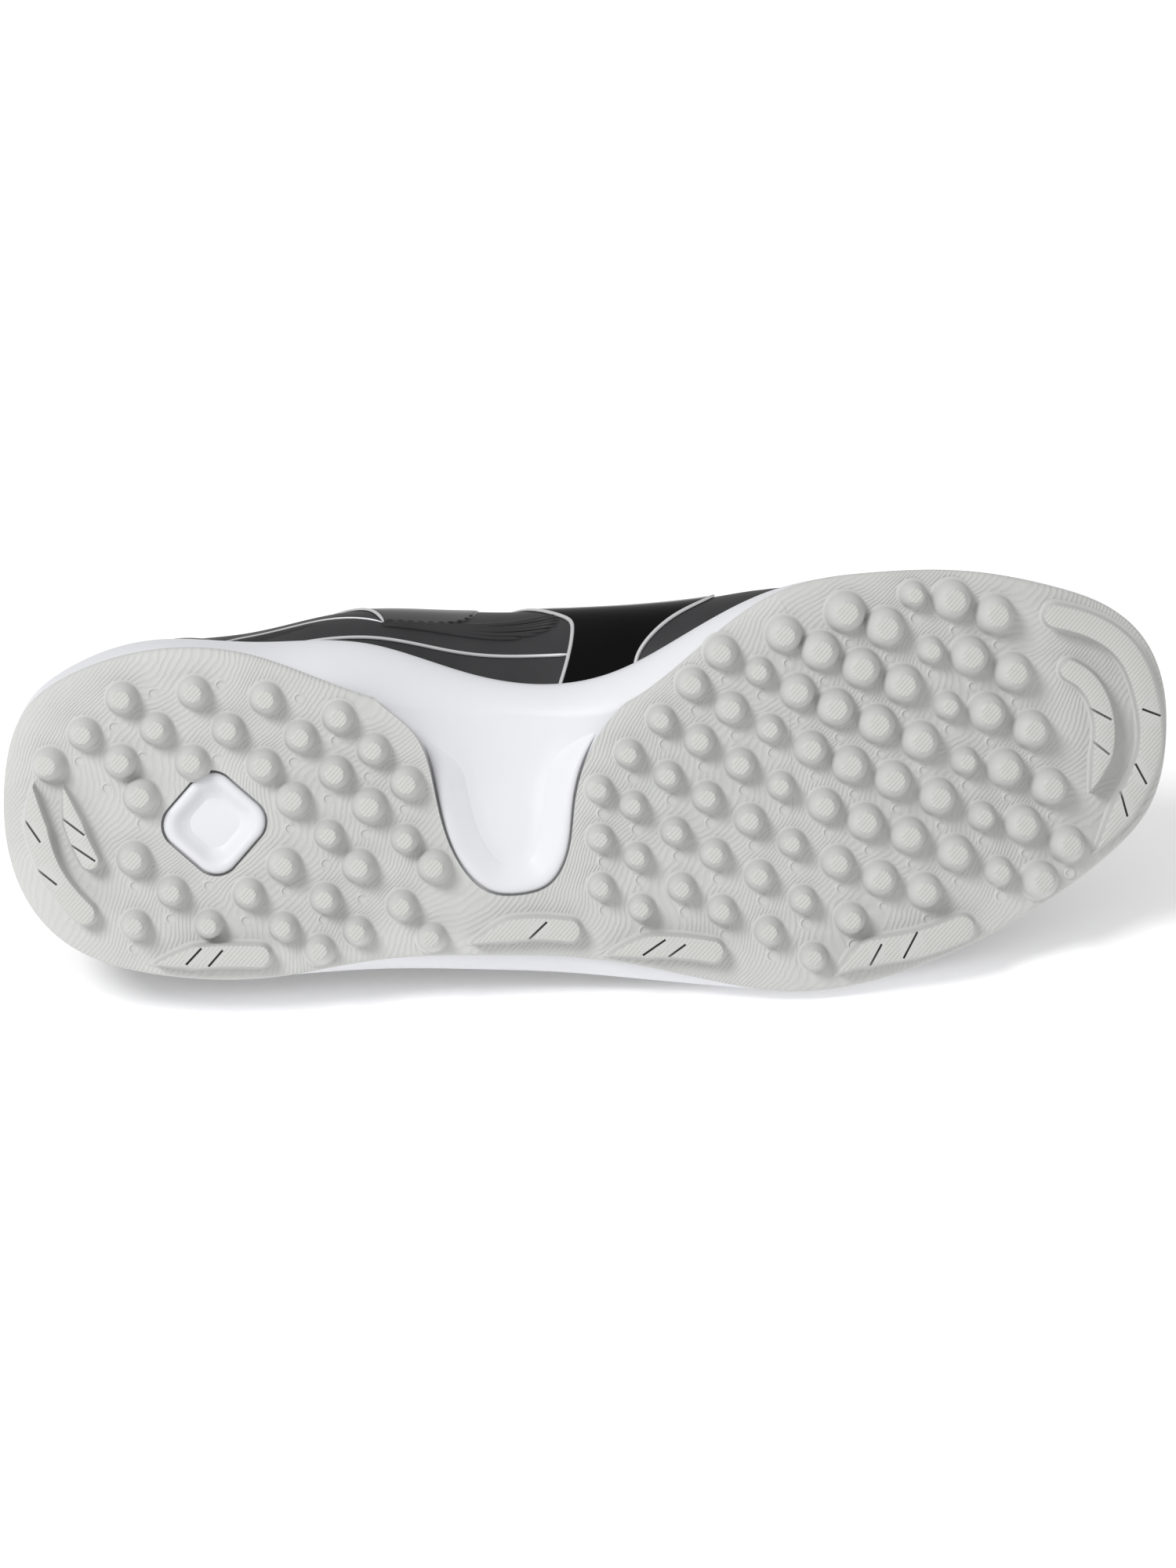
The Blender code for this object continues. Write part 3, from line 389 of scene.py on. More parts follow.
# Meshes

class Skin:
    """Places and faces of a mesh in the making, with attributes at its places."""

    def __init__(self):
        self.places = []
        self.faces = []
        self.marks = {}

    def add(self, points, **marks):
        start = len(self.places)
        points = np.asarray(points, float).reshape(-1, 3)
        self.places.extend(points.tolist())
        for name, value in marks.items():
            column = self.marks.setdefault(name, [])
            column.extend([0.0] * (start - len(column)))
            column.extend(np.broadcast_to(value, len(points)).tolist())
        return np.arange(start, start + len(points))

    def ring(self, plan, height, **marks):
        """Places over a plan, all at one height or each at its own."""
        height = np.broadcast_to(height, len(plan))
        return self.add(np.column_stack([plan, height]), **marks)

    def bridge(self, lower, upper, closed=True):
        count = len(lower) if closed else len(lower) - 1
        for i in range(count):
            j = (i + 1) % len(lower)
            self.faces.append((lower[i], lower[j], upper[j], upper[i]))

    def tube(self, rings, ends=()):
        """Joins loops one after another, with a face over each loop that ends names."""
        for lower, upper in zip(rings, rings[1:]):
            self.bridge(lower, upper)
        for end in ends:
            self.faces.append(tuple(rings[end]))

    def lattice(self, rows):
        for near, far in zip(rows, rows[1:]):
            self.bridge(near, far, closed=False)

    def ladder(self, ring, lanes, height=None):
        """Fills a loop with lanes across it; height(x, y) shapes the inside."""
        half = len(ring) // 2
        rows = []
        for i in range(half + 1):
            if i in (0, half):
                rows.append([ring[i]] * (lanes + 1))
                continue
            left = np.array(self.places[ring[i]])
            right = np.array(self.places[ring[-i]])
            share = np.linspace(0, 1, lanes + 1)[1:-1, None]
            inside = left + (right - left) * share
            if height:
                inside[:, 2] = height(inside[:, 0], inside[:, 1])
            rows.append([ring[i], *self.add(inside), ring[-i]])
        for near, far in zip(rows, rows[1:]):
            for k in range(lanes):
                corners = tuple(dict.fromkeys((near[k], near[k + 1], far[k + 1], far[k])))
                if len(corners) > 2:
                    self.faces.append(corners)

    def bare(self, name):
        """The mesh as an object, still standing, with its faces as they were added."""
        mesh = bpy.data.meshes.new(name)
        mesh.from_pydata(self.places, [], [tuple(int(i) for i in f) for f in self.faces])
        obj = bpy.data.objects.new(name, mesh)
        bpy.context.scene.collection.objects.link(obj)
        return obj

    def solid(self, name, material=None):
        """The bare object with its marks, and with its faces turned outwards."""
        obj = self.bare(name)
        for label, column in self.marks.items():
            column = column + [0.0] * (len(self.places) - len(column))
            obj.data.attributes.new(label, "FLOAT", "POINT").data.foreach_set("value", column)
        bm = bmesh.new()
        bm.from_mesh(obj.data)
        bmesh.ops.recalc_face_normals(bm, faces=bm.faces)
        bm.to_mesh(obj.data)
        bm.free()
        if material:
            obj.data.materials.append(material)
        return obj

    def piece(self, name, material, smooth=40.0):
        """The finished piece, laid on its side and carried by the shoe."""
        obj = self.solid(name, material)
        finish_piece(obj, smooth)
        return obj


def finish_piece(obj, smooth=40.0):
    """Remembers the standing places, lays the piece down and smooths it."""
    mesh = obj.data
    places = np.zeros(len(mesh.vertices) * 3)
    mesh.vertices.foreach_get("co", places)
    mesh.attributes.new("stand", "FLOAT_VECTOR", "POINT").data.foreach_set("vector", places)
    mesh.transform(POSE)
    mesh.shade_smooth()
    mesh.set_sharp_from_angle(angle=math.radians(smooth))
    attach(obj, "root")


def choose(obj):
    bpy.ops.object.select_all(action="DESELECT")
    obj.select_set(True)
    bpy.context.view_layer.objects.active = obj


def join_up(parts, name):
    """Several objects made into one, each where it stands."""
    bpy.ops.object.select_all(action="DESELECT")
    for part in parts:
        part.select_set(True)
    bpy.context.view_layer.objects.active = parts[0]
    bpy.ops.object.transform_apply(location=True, rotation=True, scale=True)
    bpy.ops.object.join()
    joined = bpy.context.active_object
    joined.name = name
    return joined


def apply_modifier(obj, kind, **settings):
    choose(obj)
    modifier = obj.modifiers.new(kind.lower(), kind)
    for key, value in settings.items():
        setattr(modifier, key, value)
    bpy.ops.object.modifier_apply(modifier=modifier.name)


# Finishes

def finish(name, colour, roughness, **sockets):
    material = bpy.data.materials.new(name)
    material.use_nodes = True
    shader = material.node_tree.nodes["Principled BSDF"]
    shader.inputs["Base Color"].default_value = (*colour, 1.0)
    shader.inputs["Roughness"].default_value = roughness
    for key, value in sockets.items():
        shader.inputs[key.replace("_", " ")].default_value = value
    return material


def add_node(material, kind, links=(), **values):
    """A node with its input values, and links of (input, source node, output)."""
    tree = material.node_tree
    node = tree.nodes.new("ShaderNode" + kind)
    for key, value in values.items():
        if hasattr(node, key):
            setattr(node, key, value)
        else:
            node.inputs[key.replace("_", " ")].default_value = value
    for key, source, output in links:
        tree.links.new(source.outputs[output], node.inputs[key])
    return node


def mark(material, name):
    """The values that a mesh carries under a name."""
    return add_node(material, "Attribute", attribute_name=name)


def feed(material, socket, source, output):
    """Leads a node's output to the shader."""
    shader = material.node_tree.nodes["Principled BSDF"]
    material.node_tree.links.new(source.outputs[output], shader.inputs[socket])


def maths(material, operation, *terms):
    """A node that works with its terms, each a number or a (node, output) pair."""
    node = add_node(material, "Math", operation=operation)
    for index, term in enumerate(terms):
        if isinstance(term, tuple):
            source, output = term
            material.node_tree.links.new(source.outputs[output], node.inputs[index])
        else:
            node.inputs[index].default_value = term
    return node


def raise_bump(material, source, output, strength, depth, before=None):
    """Bumps from a node's output, over the bumps that came before."""
    links = [("Height", source, output)]
    if before is not None:
        links.append(("Normal", before, "Normal"))
    return add_node(material, "Bump", links, Strength=strength, Distance=depth)


def grain(material, source, scale, strength, depth, before=None):
    """Fine bumps from noise at a scale."""
    noise = add_node(material, "TexNoise", [("Vector", source, "Vector")], Scale=scale, Detail=4.0)
    return raise_bump(material, noise, "Fac", strength, depth, before)


def end_bump(material, bump):
    feed(material, "Normal", bump, "Normal")


def mottle(material, source, scale, low, high):
    """Base colour that drifts between two colours."""
    noise = add_node(material, "TexNoise", [("Vector", source, "Vector")], Scale=scale, Detail=5.0)
    ramp = add_node(material, "ValToRGB", [("Fac", noise, "Fac")])
    for end, position, colour in zip(ramp.color_ramp.elements, (0.35, 0.65), (low, high)):
        end.position = position
        end.color = (*colour, 1.0)
    feed(material, "Base Color", ramp, "Color")
    return ramp


def ridge_bump(material, phase, reach, strength, depth, before=None):
    """Narrow parallel ridges along the level lines of a phase, where reach lets them."""
    wave = maths(material, "SINE", (phase, "Value"))
    raised = maths(material, "MULTIPLY_ADD", (wave, "Value"), 0.5, 0.5)
    narrow = maths(material, "POWER", (raised, "Value"), 1.6)
    kept = maths(material, "MULTIPLY", (narrow, "Value"), (reach, "Fac"))
    return raise_bump(material, kept, "Value", strength, depth, before)


def rubber_finish():
    """Pale rubber: fine moulded waves between the studs and straight ridges on flat tops."""
    material = finish("pale_rubber", (0.5, 0.5, 0.5), 0.60, Specular_IOR_Level=0.30)
    places = mark(material, "stand")
    tip = mark(material, "tip")
    ramp = mottle(material, places, 60.0, (0.525, 0.530, 0.515), (0.550, 0.554, 0.540))
    tint = add_node(material, "MixRGB", [("Fac", tip, "Fac"), ("Color1", ramp, "Color")])
    tint.inputs["Color2"].default_value = (0.532, 0.537, 0.512, 1.0)
    feed(material, "Base Color", tint, "Color")
    noise = add_node(material, "TexNoise", [("Vector", places, "Vector")], Scale=130.0, Detail=3.0)
    swayed = maths(material, "MULTIPLY_ADD", (noise, "Fac"), 15.0, (mark(material, "flow"), "Fac"))
    waves = ridge_bump(material, swayed, mark(material, "wavy"), 0.95, 0.00011)
    along = add_node(material, "VectorMath", [(0, places, "Vector")], operation="DOT_PRODUCT")
    along.inputs[1].default_value = (RIDGE_TURN, RIDGE_TURN, 0.0)
    ridges = ridge_bump(material, along, tip, 0.9, 0.00012, waves)
    end_bump(material, grain(material, places, 900.0, 0.12, 0.0001, ridges))
    return material


def foam_finish():
    material = finish("white_foam", (0.7, 0.7, 0.7), 0.45, Specular_IOR_Level=0.35)
    places = mark(material, "stand")
    mottle(material, places, 40.0, (0.695, 0.698, 0.725), (0.715, 0.718, 0.745))
    coarse = grain(material, places, 120.0, 0.06, 0.0004)
    end_bump(material, grain(material, places, 2200.0, 0.08, 0.00006, coarse))
    return material


def leather_finish(name, low, high, roughness, depth, gloss):
    material = finish(name, low, roughness, Specular_IOR_Level=gloss)
    places = mark(material, "stand")
    mottle(material, places, 55.0, low, high)
    cells = add_node(material, "TexVoronoi", [("Vector", places, "Vector")], Scale=1100.0)
    pores = raise_bump(material, cells, "Distance", 0.25, depth)
    coarse = grain(material, places, 320.0, 0.25, depth, pores)
    end_bump(material, grain(material, places, 2600.0, 0.15, depth, coarse))
    return material


def fabric_finish(name, low, high, scale):
    """Knitted cloth: crossing waves of threads over the standing places."""
    material = finish(name, low, 0.9, Specular_IOR_Level=0.2, Sheen_Weight=0.25)
    places = mark(material, "stand")
    mottle(material, places, 300.0, low, high)
    threads = []
    for axis in ("X", "Y", "Z"):
        threads.append(add_node(material, "TexWave", [("Vector", places, "Vector")], Scale=scale,
                                Distortion=0.4, bands_direction=axis))
    pair = maths(material, "MAXIMUM", (threads[0], "Fac"), (threads[1], "Fac"))
    woven = maths(material, "MULTIPLY", (pair, "Value"), (threads[2], "Fac"))
    end_bump(material, raise_bump(material, woven, "Value", 0.6, 0.00015))
    return material


RIDGE_PITCH = 0.00085
RIDGE_TURN = 2 * math.pi / RIDGE_PITCH / math.sqrt(2)

RUBBER_FINISH = rubber_finish()
FOAM_FINISH = foam_finish()
MATT_LEATHER = leather_finish("matt_leather", (0.026, 0.026, 0.028), (0.034, 0.034, 0.036),
                              0.50, 0.00007, 0.30)
SMOOTH_LEATHER = leather_finish("smooth_leather", (0.014, 0.014, 0.015), (0.020, 0.020, 0.022),
                                0.34, 0.00004, 0.35)
# Panel leather: lighter than the matt leather, partly its own grey and partly a painted highlight
# along the panel's edge.
PANEL_LEATHER = leather_finish("panel_leather", (0.042, 0.042, 0.044), (0.052, 0.052, 0.054),
                               0.30, 0.00004, 0.40)
GLOSS_BAND = leather_finish("gloss_band", (0.0022, 0.0022, 0.0026), (0.0032, 0.0032, 0.0036),
                            0.10, 0.000006, 0.09)
RIDGE_LEATHER = leather_finish("ridge_leather", (0.016, 0.016, 0.017), (0.022, 0.022, 0.024),
                               0.20, 0.00002, 0.55)
SILVER_PIPING = finish("silver_piping", (0.60, 0.60, 0.61), 0.36, Metallic=0.35)
# Near-black finish: the real colour of the stitching thread, and also the painted shade of the
# uncut lace holes.
THREAD_AND_HOLE_SHADE = finish("dark_thread_and_hole_shade", (0.010, 0.010, 0.011), 0.7)
LINING_CLOTH = fabric_finish("lining_cloth", (0.020, 0.020, 0.022), (0.032, 0.032, 0.035), 420.0)
TONGUE_CLOTH = fabric_finish("tongue_cloth", (0.028, 0.028, 0.030), (0.045, 0.045, 0.048), 330.0)
INSOLE_CLOTH = fabric_finish("insole_cloth", (0.035, 0.035, 0.038), (0.055, 0.055, 0.060), 380.0)
LACE_CLOTH = fabric_finish("lace_cloth", (0.012, 0.012, 0.013), (0.024, 0.024, 0.026), 520.0)
EYELET_FINISH = finish("eyelet_ring", (0.020, 0.020, 0.021), 0.35)


# Outsole

def stud_places():
    """(x, y, radius) of every stud, forefoot first."""
    places = []
    for along, across, step_x, step_y, count, first, last in FORE_STUDS:
        for k in range(count):
            radius = first + (last - first) * k / (count - 1)
            places.append(((along + k * step_x) * LENGTH, (across + k * step_y) * BALL_WIDTH,
                           radius * LENGTH))
    for x0, y0, x1, y1, sag, count, left_out, radius in HEEL_STUDS:
        for k in range(count):
            share = k / (count - 1) if count > 1 else 0.0
            bow = 4 * sag * share * (1 - share)
            if k != left_out:
                places.append(((x0 + (x1 - x0) * share) * LENGTH,
                               (y0 + (y1 - y0) * share + bow) * BALL_WIDTH, radius * LENGTH))
    return places


STUDS = stud_places()


WAVE_PITCH = 1.25


def flow_of(x, y):
    """Phase whose level lines are the fine moulded waves that run round the studs."""
    x, y = np.asarray(x) * 1000, np.asarray(y) * 1000
    level = (0.82 * x + 0.57 * y + 2.8 * np.sin(x / 8.0 + y / 14.0)
             + 2.0 * np.sin(y / 5.5 - x / 19.0))
    for sx, sy, radius in STUDS:
        sx, sy, reach = sx * 1000, sy * 1000, radius * 1000 + 2.4
        near = np.exp(-((x - sx) ** 2 + (y - sy) ** 2) / reach ** 2)
        level = level + 3.0 * near
    return level * 2 * math.pi / WAVE_PITCH


# Edge of the rubber, from its top over the rounded rim to the fold line.
# Columns: inset, height over the under face
RUBBER_RIM = (
    (0.0000, 0.0022),
    (0.0000, 0.0016),
    (0.00015, 0.00115),
    (0.0005, 0.00078),
    (0.0011, 0.00052),
    (0.0020, 0.00030),
    (0.0032, 0.00012),
    (0.0046, 0.00004),
    (0.0056, 0.00000),
)


CUTTER_REACH = (-0.01, 0.05)


def prism(name, outline, low, high):
    """A cutter: a flat outline drawn out between two heights."""
    skin = Skin()
    skin.tube([skin.ring(outline, z) for z in (low, high)], ends=(0, 1))
    return skin.solid(name)


def cut(obj, cutter):
    apply_modifier(obj, "BOOLEAN", operation="DIFFERENCE", object=cutter, solver="EXACT")
    bpy.data.objects.remove(cutter, do_unlink=True)


def notch_outline(out=0.0):
    line = path_through(np.array(ARCH_NOTCH) * (LENGTH, BALL_WIDTH), 160)
    return line + left_of(np.gradient(line, axis=0)) * out


def window_outline(inset, count=14):
    """Rounded square round the window's place."""
    half = WINDOW_SIDE / 2 - inset
    corner = max(WINDOW_CORNER - 0.35 * inset, half * 0.55)
    points = []
    for quarter in range(4):
        start = quarter * math.pi / 2
        cx = math.cos(start + math.pi / 4) * math.sqrt(2) * (half - corner)
        cy = math.sin(start + math.pi / 4) * math.sqrt(2) * (half - corner)
        for angle in np.linspace(start, start + math.pi / 2, count):
            points.append((cx + corner * math.cos(angle), cy + corner * math.sin(angle)))
    cos, sin = math.cos(WINDOW_TURN), math.sin(WINDOW_TURN)
    points = np.array(points) @ np.array(((cos, sin), (-sin, cos)))
    return points + (WINDOW_PLACE[0] * LENGTH, WINDOW_PLACE[1] * BALL_WIDTH)


def rubber_sheet():
    along = shoe_stations(190, 110)
    skin = Skin()
    rings = []
    for inset, height in RUBBER_RIM:
        plan = plan_ring(along, RUBBER_COLUMNS, -inset)
        rings.append(skin.ring(plan, ground(plan[:, 0]) + height))
    skin.tube(rings)
    skin.ladder(rings[0], 6, lambda x, y: ground(x) + RUBBER)
    skin.ladder(rings[-1], 84, lambda x, y: ground(x))
    sheet = skin.solid("outsole_sheet", RUBBER_FINISH)
    cut(sheet, prism("notch_cutter", notch_outline(), *CUTTER_REACH))
    cut(sheet, prism("window_cutter", window_outline(-0.0002), *CUTTER_REACH))
    mark_flow(sheet)
    finish_piece(sheet, 50.0)
    return sheet


def mark_flow(obj):
    mesh = obj.data
    places = np.zeros(len(mesh.vertices) * 3)
    mesh.vertices.foreach_get("co", places)
    values = flow_of(places[0::3], places[1::3])
    mesh.attributes.new("flow", "FLOAT", "POINT").data.foreach_set("value", values)
    mesh.attributes.new("wavy", "FLOAT", "POINT").data.foreach_set("value", values * 0 + 1)


# Section of a stud, from its soft foot over a domed wall to its flat end.
# Columns: reach (1 at the foot, 0 at the flat end), spare reach in metres, height share
STUD_SECTION = (
    (1.00, 0.00080, -0.010),
    (1.00, 0.00042, 0.010),
    (1.00, 0.00018, 0.050),
    (0.99, 0.00003, 0.120),
    (0.93, 0.0, 0.260),
    (0.82, 0.0, 0.430),
    (0.66, 0.0, 0.600),
    (0.46, 0.0, 0.750),
    (0.26, 0.0, 0.865),
    (0.11, 0.0, 0.940),
    (0.02, 0.0, 0.982),
    (-0.10, 0.0, 1.000),
    (-0.45, 0.0, 1.003),
)


STUD_SIDES = 30


def add_stud(skin, x, y, radius, number):
    slope = float(ground_slope(x))
    level = float(ground(x))
    tip = radius * STUD_TIP
    angles = 2 * math.pi * np.arange(STUD_SIDES) / STUD_SIDES
    rough = 1 + 0.012 * np.sin(3 * angles + number) + 0.008 * np.sin(7 * angles + 2 * number)
    rings = []
    for reach, spare, height in STUD_SECTION:
        far = (tip + (radius - tip) * reach + spare) * (rough if height > 0.8 else 1.0)
        ahead, aside = far * np.cos(angles), far * np.sin(angles)
        rise = -height * STUD_HEIGHT
        plan = np.column_stack([x + ahead * math.cos(slope) - rise * math.sin(slope), y + aside])
        high = level + ahead * math.sin(slope) + rise * math.cos(slope)
        if height < 0.1:
            high = ground(plan[:, 0]) + rise
        rings.append(skin.ring(plan, high, tip=float(smooth_step((height - 0.93) / 0.05))))
    skin.tube(rings, ends=(-1,))


def stud_field():
    skin = Skin()
    for number, (x, y, radius) in enumerate(STUDS):
        add_stud(skin, x, y, radius, number)
    return skin.piece("studs", RUBBER_FINISH, smooth=60.0)


# Section of a lug, from its soft foot to its flat top. Columns: out, height share
LUG_SECTION = (
    (0.00095, -0.012),
    (0.00050, 0.010),
    (0.00024, 0.060),
    (0.00008, 0.150),
    (-0.00005, 0.350),
    (-0.00024, 0.820),
    (-0.00034, 0.930),
    (-0.00052, 0.985),
    (-0.00080, 1.000),
)
SIPE_WIDTH = 0.00055
SIPE_REACH = (0.0018, 0.0065)


def lug_ring(spine, normals, run, half_width, point_length, out):
    """Outline of a lug at one height: pointed at its start and round at its end."""
    start = -1.6 * out
    end = run[-1] + out
    wide = half_width + out
    at = start + (end - start) * ring_stations(46)
    pointed = np.clip((at - start) / point_length, 0.0, 1.0) ** 0.8
    rounded = np.sqrt(np.clip(1 - np.clip(1 - (end - at) / wide, 0.0, 1.0) ** 2, 0.0, 1.0))
    half = wide * np.minimum(pointed, rounded)
    inside = np.clip(at, 0.0, run[-1])
    normal = unit(read_along(inside, run, normals))
    forward = np.column_stack([normal[:, 1], -normal[:, 0]])
    line = read_along(inside, run, spine) + forward * (at - inside)[:, None]
    left = line + normal * half[:, None]
    right = line - normal * half[:, None]
    return np.concatenate([left, right[-2:0:-1]])


def lug_field():
    skin = Skin()
    for half_width, point_length, points in LUGS:
        spine = path_through(np.array(points) * (LENGTH, BALL_WIDTH), 60)
        normals = left_of(np.gradient(spine, axis=0))
        rings = []
        for out, height in LUG_SECTION:
            plan = lug_ring(spine, normals, run_of(spine), half_width * LENGTH,
                            point_length * LENGTH, out)
            rings.append(skin.ring(plan, ground(plan[:, 0]) - height * LUG_HEIGHT,
                                   tip=float(height > 0.98)))
        skin.tube(rings)
        skin.ladder(rings[0], 1)
        skin.ladder(rings[-1], 1)
    lugs = skin.solid("lugs", RUBBER_FINISH)
    cut(lugs, sipe_cutter())
    finish_piece(lugs, 40.0)
    return lugs


def sipe_cutter():
    """Thin blades that cut the slits into the tops of the lugs."""
    low, high = SIPE_REACH
    blades = []
    for along0, across0, along1, across1 in SIPES:
        start = Vector((along0 * LENGTH, across0 * BALL_WIDTH, 0.0))
        way = Vector((along1 * LENGTH, across1 * BALL_WIDTH, 0.0)) - start
        middle = start + way / 2
        middle.z = float(ground(middle.x)) - (low + high) / 2
        bpy.ops.mesh.primitive_cube_add(size=1.0, calc_uvs=False, location=middle,
                                        rotation=(0.0, 0.0, math.atan2(way.y, way.x)),
                                        scale=(way.length, SIPE_WIDTH, high - low))
        blades.append(bpy.context.active_object)
    return join_up(blades, "sipe_cutter")


# Section of a small moulded ring, from outside to its floor. Columns: reach, height
RING_SECTION = (
    (0.00060, -0.00002),
    (0.00030, 0.00014),
    (0.00012, 0.00030),
    (0.0, 0.00034),
    (-0.00008, 0.00024),
    (-0.00016, 0.00004),
    (-0.00060, 0.00001),
)
RING_GAP = math.radians(40.0)
FORE_COUNT = sum(row[4] for row in FORE_STUDS)


def ring_field():
    """Small moulded rings, low on one side: a soft outer slope and a steep inner wall."""
    places = [(a * LENGTH, c * BALL_WIDTH, 0.0010) for a, c in HEEL_RINGS]
    for x, y, radius in STUDS[:FORE_COUNT]:
        edge = sole_edges(x / LENGTH, RUBBER_COLUMNS)[1]
        if y + radius + 0.0060 < edge:
            places.append((x + 0.0006, y + radius + 0.0026, 0.0009 if radius > 0.004 else 0.0012))
    skin = Skin()
    angles = 2 * math.pi * np.arange(20) / 20
    rise = 0.10 + 0.90 * smooth_step(0.55 - 0.75 * np.cos(angles - RING_GAP))
    circle = np.column_stack([np.cos(angles), np.sin(angles)])
    for x, y, radius in places:
        rings = []
        for reach, height in RING_SECTION:
            plan = (x, y) + (radius + reach) * circle
            rings.append(skin.ring(plan, ground(plan[:, 0]) - height * rise))
        skin.tube(rings, ends=(-1,))
    return skin.piece("mould_rings", RUBBER_FINISH, smooth=60.0)


# Midsole

def notch_depth(x, y):
    """How far places lie inside the arch cut-out, in metres."""
    line = notch_outline()
    places = np.arange(len(x))
    steps = np.column_stack([x, y])[:, None, :] - line[None, :, :]
    far = np.sqrt((steps ** 2).sum(axis=2))
    near = far.argmin(axis=1)
    left = left_of(np.gradient(line, axis=0))[near]
    side = (left * steps[places, near]).sum(axis=1)
    return np.where(side < 0, 1, -1) * far[places, near]


def foam_face(x, y):
    """Under face of the foam with the soft dish of its arch."""
    depth = notch_depth(x, y)
    fade = smooth_step((y / BALL_WIDTH + 0.15) / 0.20)
    dish = 0.0007 * smooth_step((depth - 0.0060) / 0.0045) * fade
    return foam_under(x, y) + dish


# Rounded rim of the foam cup. Columns: inset, depth under the rim's line
CUP_SECTION = (
    (0.0001, 0.0042),
    (0.0003, 0.0026),
    (0.0007, 0.0014),
    (0.0013, 0.0006),
    (0.0021, 0.0002),
    (0.0030, 0.0001),
    (0.0040, 0.0003),
    (CUP_WALL, 0.0008),
)
WALL_SHARE = 0.62


def foam_body():
    along = shoe_stations(210, 80)
    under = plan_ring(along, RUBBER_COLUMNS, -0.0006)
    wide = plan_ring(along, FOAM_COLUMNS)
    low = foam_under(under[:, 0], under[:, 1])
    rim = cup_rim(wide[:, 0], wide[:, 1])
    skin = Skin()
    rings = []
    for share in np.linspace(0.0, 1.0, 9):
        plan = under + (wide - under) * math.sin(share * math.pi / 2)
        rings.append(skin.ring(plan, low + (rim - low) * WALL_SHARE * share ** 1.25))
    for inset, drop in CUP_SECTION:
        plan = plan_ring(along, FOAM_COLUMNS, -inset)
        rings.append(skin.ring(plan, cup_rim(plan[:, 0], plan[:, 1]) - drop))
    rings.append(skin.ring(plan, footbed(plan[:, 0])))
    skin.tube(rings)
    skin.ladder(rings[0], 100, foam_face)
    skin.ladder(rings[-1], 10, lambda x, y: footbed(x))
    return skin.piece("midsole_foam", FOAM_FINISH, smooth=50.0)


# Raised edge of the foam inside the arch cut-out. Columns: inset, share of its height
CUSHION_SECTION = (
    (0.00045, -0.30),
    (0.00045, 0.50),
    (0.00058, 0.78),
    (0.00090, 0.93),
    (0.00140, 1.00),
    (0.00210, 0.98),
    (0.00300, 0.86),
    (0.00420, 0.62),
    (0.00560, 0.34),
    (0.00700, 0.12),
    (0.00820, -0.06),
)
CUSHION_HEIGHT = 0.0017
CUSHION_START = -0.150


def arch_cushion():
    """Soft raised edge of the foam that fills the arch cut-out up to the rubber."""
    skin = Skin()
    line = notch_outline()
    across = line[:, 1] / BALL_WIDTH
    inner = across > CUSHION_START
    fade = smooth_step((across - CUSHION_START) / 0.14)
    inward = notch_outline(-1.0) - line
    closest = CUSHION_SECTION[0][0]
    rows = []
    for inset, share in CUSHION_SECTION:
        reach = closest + (inset - closest) * (0.25 + 0.75 * fade)
        plan = (line + inward * reach[:, None])[inner]
        rise = CUSHION_HEIGHT * share * fade[inner] - 0.0004 * (1 - fade[inner])
        rows.append(skin.ring(plan, foam_face(*plan.T) - rise))
    skin.lattice(rows)
    return skin.piece("arch_cushion", FOAM_FINISH, smooth=60.0)


# Window of the heel, from the foam outwards, over the rim and down into its dish.
# Columns: inset, height over the rubber's under face
WINDOW_SECTION = (
    (0.0003, 0.0026),
    (0.0003, 0.0008),
    (0.0005, 0.0001),
    (0.0010, -0.0003),
    (0.0018, -0.0004),
    (0.0025, -0.0001),
    (0.0031, 0.0005),
    (0.0038, 0.0013),
    (0.0047, 0.0021),
    (0.0058, 0.0027),
    (0.0071, 0.0031),
    (0.0086, 0.0033),
    (0.0100, 0.0034),
)


def heel_window():
    skin = Skin()
    rings = []
    for inset, height in WINDOW_SECTION:
        plan = window_outline(inset)
        rings.append(skin.ring(plan, ground(plan[:, 0]) + height))
    skin.tube(rings, ends=(-1, 0))
    return skin.piece("heel_window", FOAM_FINISH, smooth=60.0)


# Insole

def insole_sheet():
    along = shoe_stations(90, 50)
    edge = CUP_WALL + 2 * GAP + UPPER_WALL
    skin = Skin()
    rings = []
    for inset, height in ((0.0, GAP), (0.0, GAP + INSOLE - 0.0006), (0.0004, GAP + INSOLE)):
        plan = plan_ring(along, FOAM_COLUMNS, -(edge + inset))
        rings.append(skin.ring(plan, footbed(plan[:, 0]) + height))
    skin.tube(rings)
    skin.ladder(rings[0], 8, lambda x, y: footbed(x) + GAP)
    skin.ladder(rings[-1], 30, lambda x, y: footbed(x) + GAP + INSOLE)
    return skin.piece("insole_sheet", INSOLE_CLOTH)


# Upper

UPPER_STATIONS = shoe_stations(130, 70)
UPPER_LEVELS = np.concatenate([[-0.08], np.linspace(0, 1, 64)])


